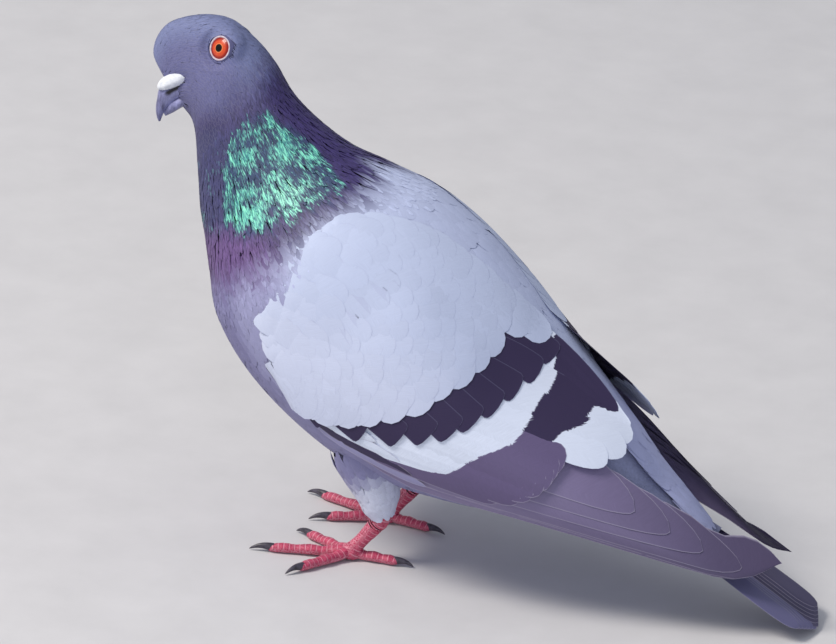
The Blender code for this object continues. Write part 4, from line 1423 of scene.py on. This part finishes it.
def plucked_skin_material():
    """Skin between the feathers' roots, tinted by the down over it, with a grain of goose flesh."""
    material, tree, shader = new_material("downy_bird_skin")
    grain = noise(tree, object_place(tree), 1200.0, 3.0)
    base = toned(tree, fact(tree, "tint", "Color"), ranged(tree, grain, 0.0, 1.0, 0.6, 1.0))
    finish_surface(tree, shader, base, ranged(tree, grain, 0.0, 1.0, 0.8, 0.95), grain, 0.4)
    return material


def scaled_leg_material():
    """Leathery crimson leg skin under horny scutes, whose dry edges are pale and chalky."""
    material, tree, shader = new_material("crimson_scute_skin", Specular_IOR_Level=0.45)
    around = add_node(tree, "SeparateXYZ", {0: fact(tree, "scale", "Vector")}).node.outputs
    front = ranged(tree, around["Z"], -0.2, 0.35)
    # Across the front one broad scute follows the next; behind are small round scales.
    gap = calc(tree, "PINGPONG", calc(tree, "DIVIDE", around["Y"], SCUTE), 0.5)
    band = calc(tree, "MULTIPLY", ranged(tree, gap, 0.14, 0.02), front)
    skin = add_node(tree, "CombineXYZ", {"X": around["X"], "Y": around["Y"]})
    cells = add_node(tree, "TexVoronoi", {"Vector": skin, "Scale": 1.1}, feature="DISTANCE_TO_EDGE")
    behind = ranged(tree, front, 0.0, 1.0, 1.0, 0.25)
    cells = calc(tree, "MULTIPLY", ranged(tree, cells, 0.16, 0.02), behind)
    edge = calc(tree, "MAXIMUM", band, cells)
    mottle = noise(tree, skin, 0.5, 3.0)
    red = mixed(tree, ranged(tree, mottle, 0.3, 0.7), "#9C2148", "#CC4468")
    base = mixed(tree, calc(tree, "MULTIPLY", edge, 0.75), red, "#E6A6B6")
    height = calc(tree, "SUBTRACT", calc(tree, "MULTIPLY", mottle, 0.3), edge)
    finish_surface(tree, shader, base, ranged(tree, edge, 0.0, 1.0, 0.42, 0.67), height, 0.5)
    return material


def grained_material(name, dark, light, scale, rough, relief, stretch=(1.0, 1.0, 1.0)):
    """Two tones and a grain of one size, with duller and smoother spots.

    As bill and claw it is horn, smooth with growth streaks; as cere and lid it is dry, chalky skin;
    as the floor it is matt paint.
    """
    material, tree, shader = new_material(name)
    spot = add_node(tree, "Mapping", {"Vector": object_place(tree), "Scale": stretch})
    grain = noise(tree, spot, scale, 4.0, 0.6)
    base = mixed(tree, ranged(tree, grain, 0.3, 0.7), dark, light)
    # Painted shade: the dark inside a nostril, on the bill's surface.
    base = mixed(tree, fact(tree, "nostril_shade"), base, "#17141F")
    finish_surface(tree, shader, base, swing(tree, grain, rough, 0.12), grain, relief)
    return material


# The eye's rings, as degrees round the ball from the middle of the pupil.
PUPIL_EDGE, IRIS_EDGE, IRIS_END = 15.0, 31.0, 40.0


def eye_material():
    """A wet cornea over an orange iris, redder at its edge, round a black pupil."""
    material, tree, shader = new_material(
        "wet_orange_eye", Roughness=0.3, Specular_IOR_Level=0.2, Coat_Weight=0.6, Coat_Roughness=0.03,
        Coat_IOR=1.3)
    away = fact(tree, "from_pupil")
    fibre = noise(tree, object_place(tree), 1400.0, 3.0)
    reach = calc(tree, "MULTIPLY_ADD", fibre, 6.0, away)
    iris = mixed(tree, fibre, "#B83418", "#E05E34")
    iris = mixed(tree, ranged(tree, reach, IRIS_EDGE, IRIS_END), iris, "#8E1E18")
    iris = mixed(tree, ranged(tree, away, PUPIL_EDGE + 5, PUPIL_EDGE + 1, 0.0, 0.6), iris, "#F2A060")
    base = mixed(tree, ranged(tree, away, PUPIL_EDGE + 0.7, PUPIL_EDGE - 0.7), iris, "#060404")
    tree.links.new(base, shader.inputs["Base Color"])
    return material


# ---------------------------------------------------------------- the bird

def place_piece(piece, nodes=()):
    """Ride a piece on the bird's one body, for the frame's solids that it stands for."""
    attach(piece, "root")
    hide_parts(*nodes)


def place_coat(name, batches, material, nodes=()):
    """Join laid feathers into a piece and place it."""
    place_piece(feather_mesh(name, batches, material), nodes)


def build_bird():
    """Every visible piece of the bird."""
    contour = feather_material("soft_contour_barbs", 0.42, 1.2, (0.04, 0.16), (0.35, 0.15, "#B4B2C8"),
                               0.75, 0.3)
    shield = feather_material("smooth_covert_barbs", 0.45, 1.3, (0.025, 0.07), (0.35, 0.2, "#9A9EC2"),
                              0.7, 0.2, jag=2.2)
    flight = feather_material("stiff_flight_barbs", 0.4, 0.8, (0.05, 0.12), (0.4, 0.6, "#B4AFC4"),
                              0.5, 0.25, jag=2.0)
    neck = painted_glint_neck_material()
    lid = grained_material("bare_lid_skin", "#A99AA8", "#D6CBD4", 900.0, 0.6, 0.4)
    place_piece(make_skin([plucked_skin_material(), scaled_leg_material(), lid]),
                FLESH + SCALED)
    coats = {"coat_head": ("slate_plumage", contour), "coat_neck": ("neck_plumage", neck),
             "coat_back": ("breast_plumage", shield), "coat_breast": ("breast_plumage", contour),
             "coat_rump": ("rump_plumage", contour)}
    for name, (slot, material) in coats.items():
        place_coat(name, [body_coat(name)], material)
    for side in SIDES:
        place_coat("thigh_down_" + side, [thigh_coat(side)], contour)
        place_coat("covert_feathers_" + side, [small_coverts(side)], shield)
        outer, bars = secondaries(side)
        place_coat("secondary_feathers_" + side, outer, flight,
                   ["wing_secondaries_" + side])
        place_coat("bar_feathers_" + side, bars, shield)
        place_coat("primary_feathers_" + side, primaries(side), flight,
                   ["wing_primaries_" + side])
    place_coat("tail_feathers", [tail_feathers()], flight, ["tail"])
    horn = grained_material("slate_bill_horn", "#46466A", "#9698C6", 500.0, 0.4, 0.3, (1.0, 1.0, 0.35))
    place_piece(bill_half("upper_bill", UPPER_BILL, -0.8, horn), ["bill_upper"])
    place_piece(bill_half("lower_bill", LOWER_BILL, 0.8, horn), ["bill_lower"])
    chalk = grained_material("chalky_cere_skin", "#CFD4DE", "#F0F4FA", 700.0, 0.8, 0.9)
    place_piece(make_cere(chalk), ["cere"])
    place_piece(make_eyes(eye_material()), ["eye_left", "eye_right"])
    claw = grained_material("grey_claw_horn", "#26222C", "#55505E", 600.0, 0.42, 0.3)
    place_piece(make_claws(claw), [f"claw_{toe}_{side}" for toe in TOES for side in SIDES])


# ---------------------------------------------------------------- floor, light and camera

VIEW_AZIMUTH, VIEW_ELEVATION, VIEW_ROLL = (math.radians(angle) for angle in (108.4, 21.5, 4.2))
VIEW_DISTANCE, VIEW_LENS = 3.0, 368.2
LIGHT_AIM = Vector((0.0, 0.0, 0.08))
VIEW_AIM = Vector((-0.0315, 0.0051 + SHIFT_Y * MM, 0.0717))


def add_camera():
    """The camera, from the bird's left and somewhat above, rolled a little."""
    sine, cosine = math.sin(VIEW_AZIMUTH), math.cos(VIEW_AZIMUTH)
    level = math.cos(VIEW_ELEVATION)
    back = Vector((sine * level, -cosine * level, math.sin(VIEW_ELEVATION)))
    right = Vector((cosine, sine, 0.0))
    up = back.cross(right)
    across = right * math.cos(VIEW_ROLL) + up * math.sin(VIEW_ROLL)
    over = up * math.cos(VIEW_ROLL) - right * math.sin(VIEW_ROLL)
    camera = add_object("camera", bpy.data.cameras.new("camera"))
    turn = Matrix((across, over, back)).transposed().to_4x4()
    camera.matrix_world = Matrix.Translation(VIEW_AIM + back * VIEW_DISTANCE) @ turn
    camera.data.lens = VIEW_LENS
    camera.data.clip_end = 10 * VIEW_DISTANCE
    bpy.context.scene.camera = camera


def add_light(name, place, power, size, tone):
    """A square soft light that faces the bird."""
    light = add_object(name, bpy.data.lights.new(name, "AREA"))
    light.data.energy, light.data.size, light.data.color = power, size, paint(tone)
    turn = (Vector(place) - LIGHT_AIM).to_track_quat("Z", "Y").to_matrix().to_4x4()
    light.matrix_world = Matrix.Translation(place) @ turn


def add_studio():
    """A plain pale floor, a soft key from ahead and above, and a pale surround."""
    bm = bmesh.new()
    bmesh.ops.create_grid(bm, x_segments=1, y_segments=1, size=8.0)
    mesh = bpy.data.meshes.new("floor")
    bm.to_mesh(mesh)
    bm.free()
    mesh.materials.append(grained_material("matt_painted_floor", "#CBCBCE", "#D1D1D4", 40.0, 0.85, 0.05))
    add_object("floor", mesh)
    world = bpy.data.worlds.new("studio")
    world.use_nodes = True
    world.node_tree.nodes["Background"].inputs["Color"].default_value = colour("#DDE1EC")
    world.node_tree.nodes["Background"].inputs["Strength"].default_value = 0.55
    bpy.context.scene.world = world
    add_light("key", (1.1, -1.5, 2.2), 70.0, 0.9, "#FFF8EE")
    add_light("fill", (2.4, 1.2, 0.9), 10.0, 1.6, "#E9EEFF")
    bpy.context.scene.view_settings.view_transform = "Standard"


build_bird()
add_studio()
add_camera()
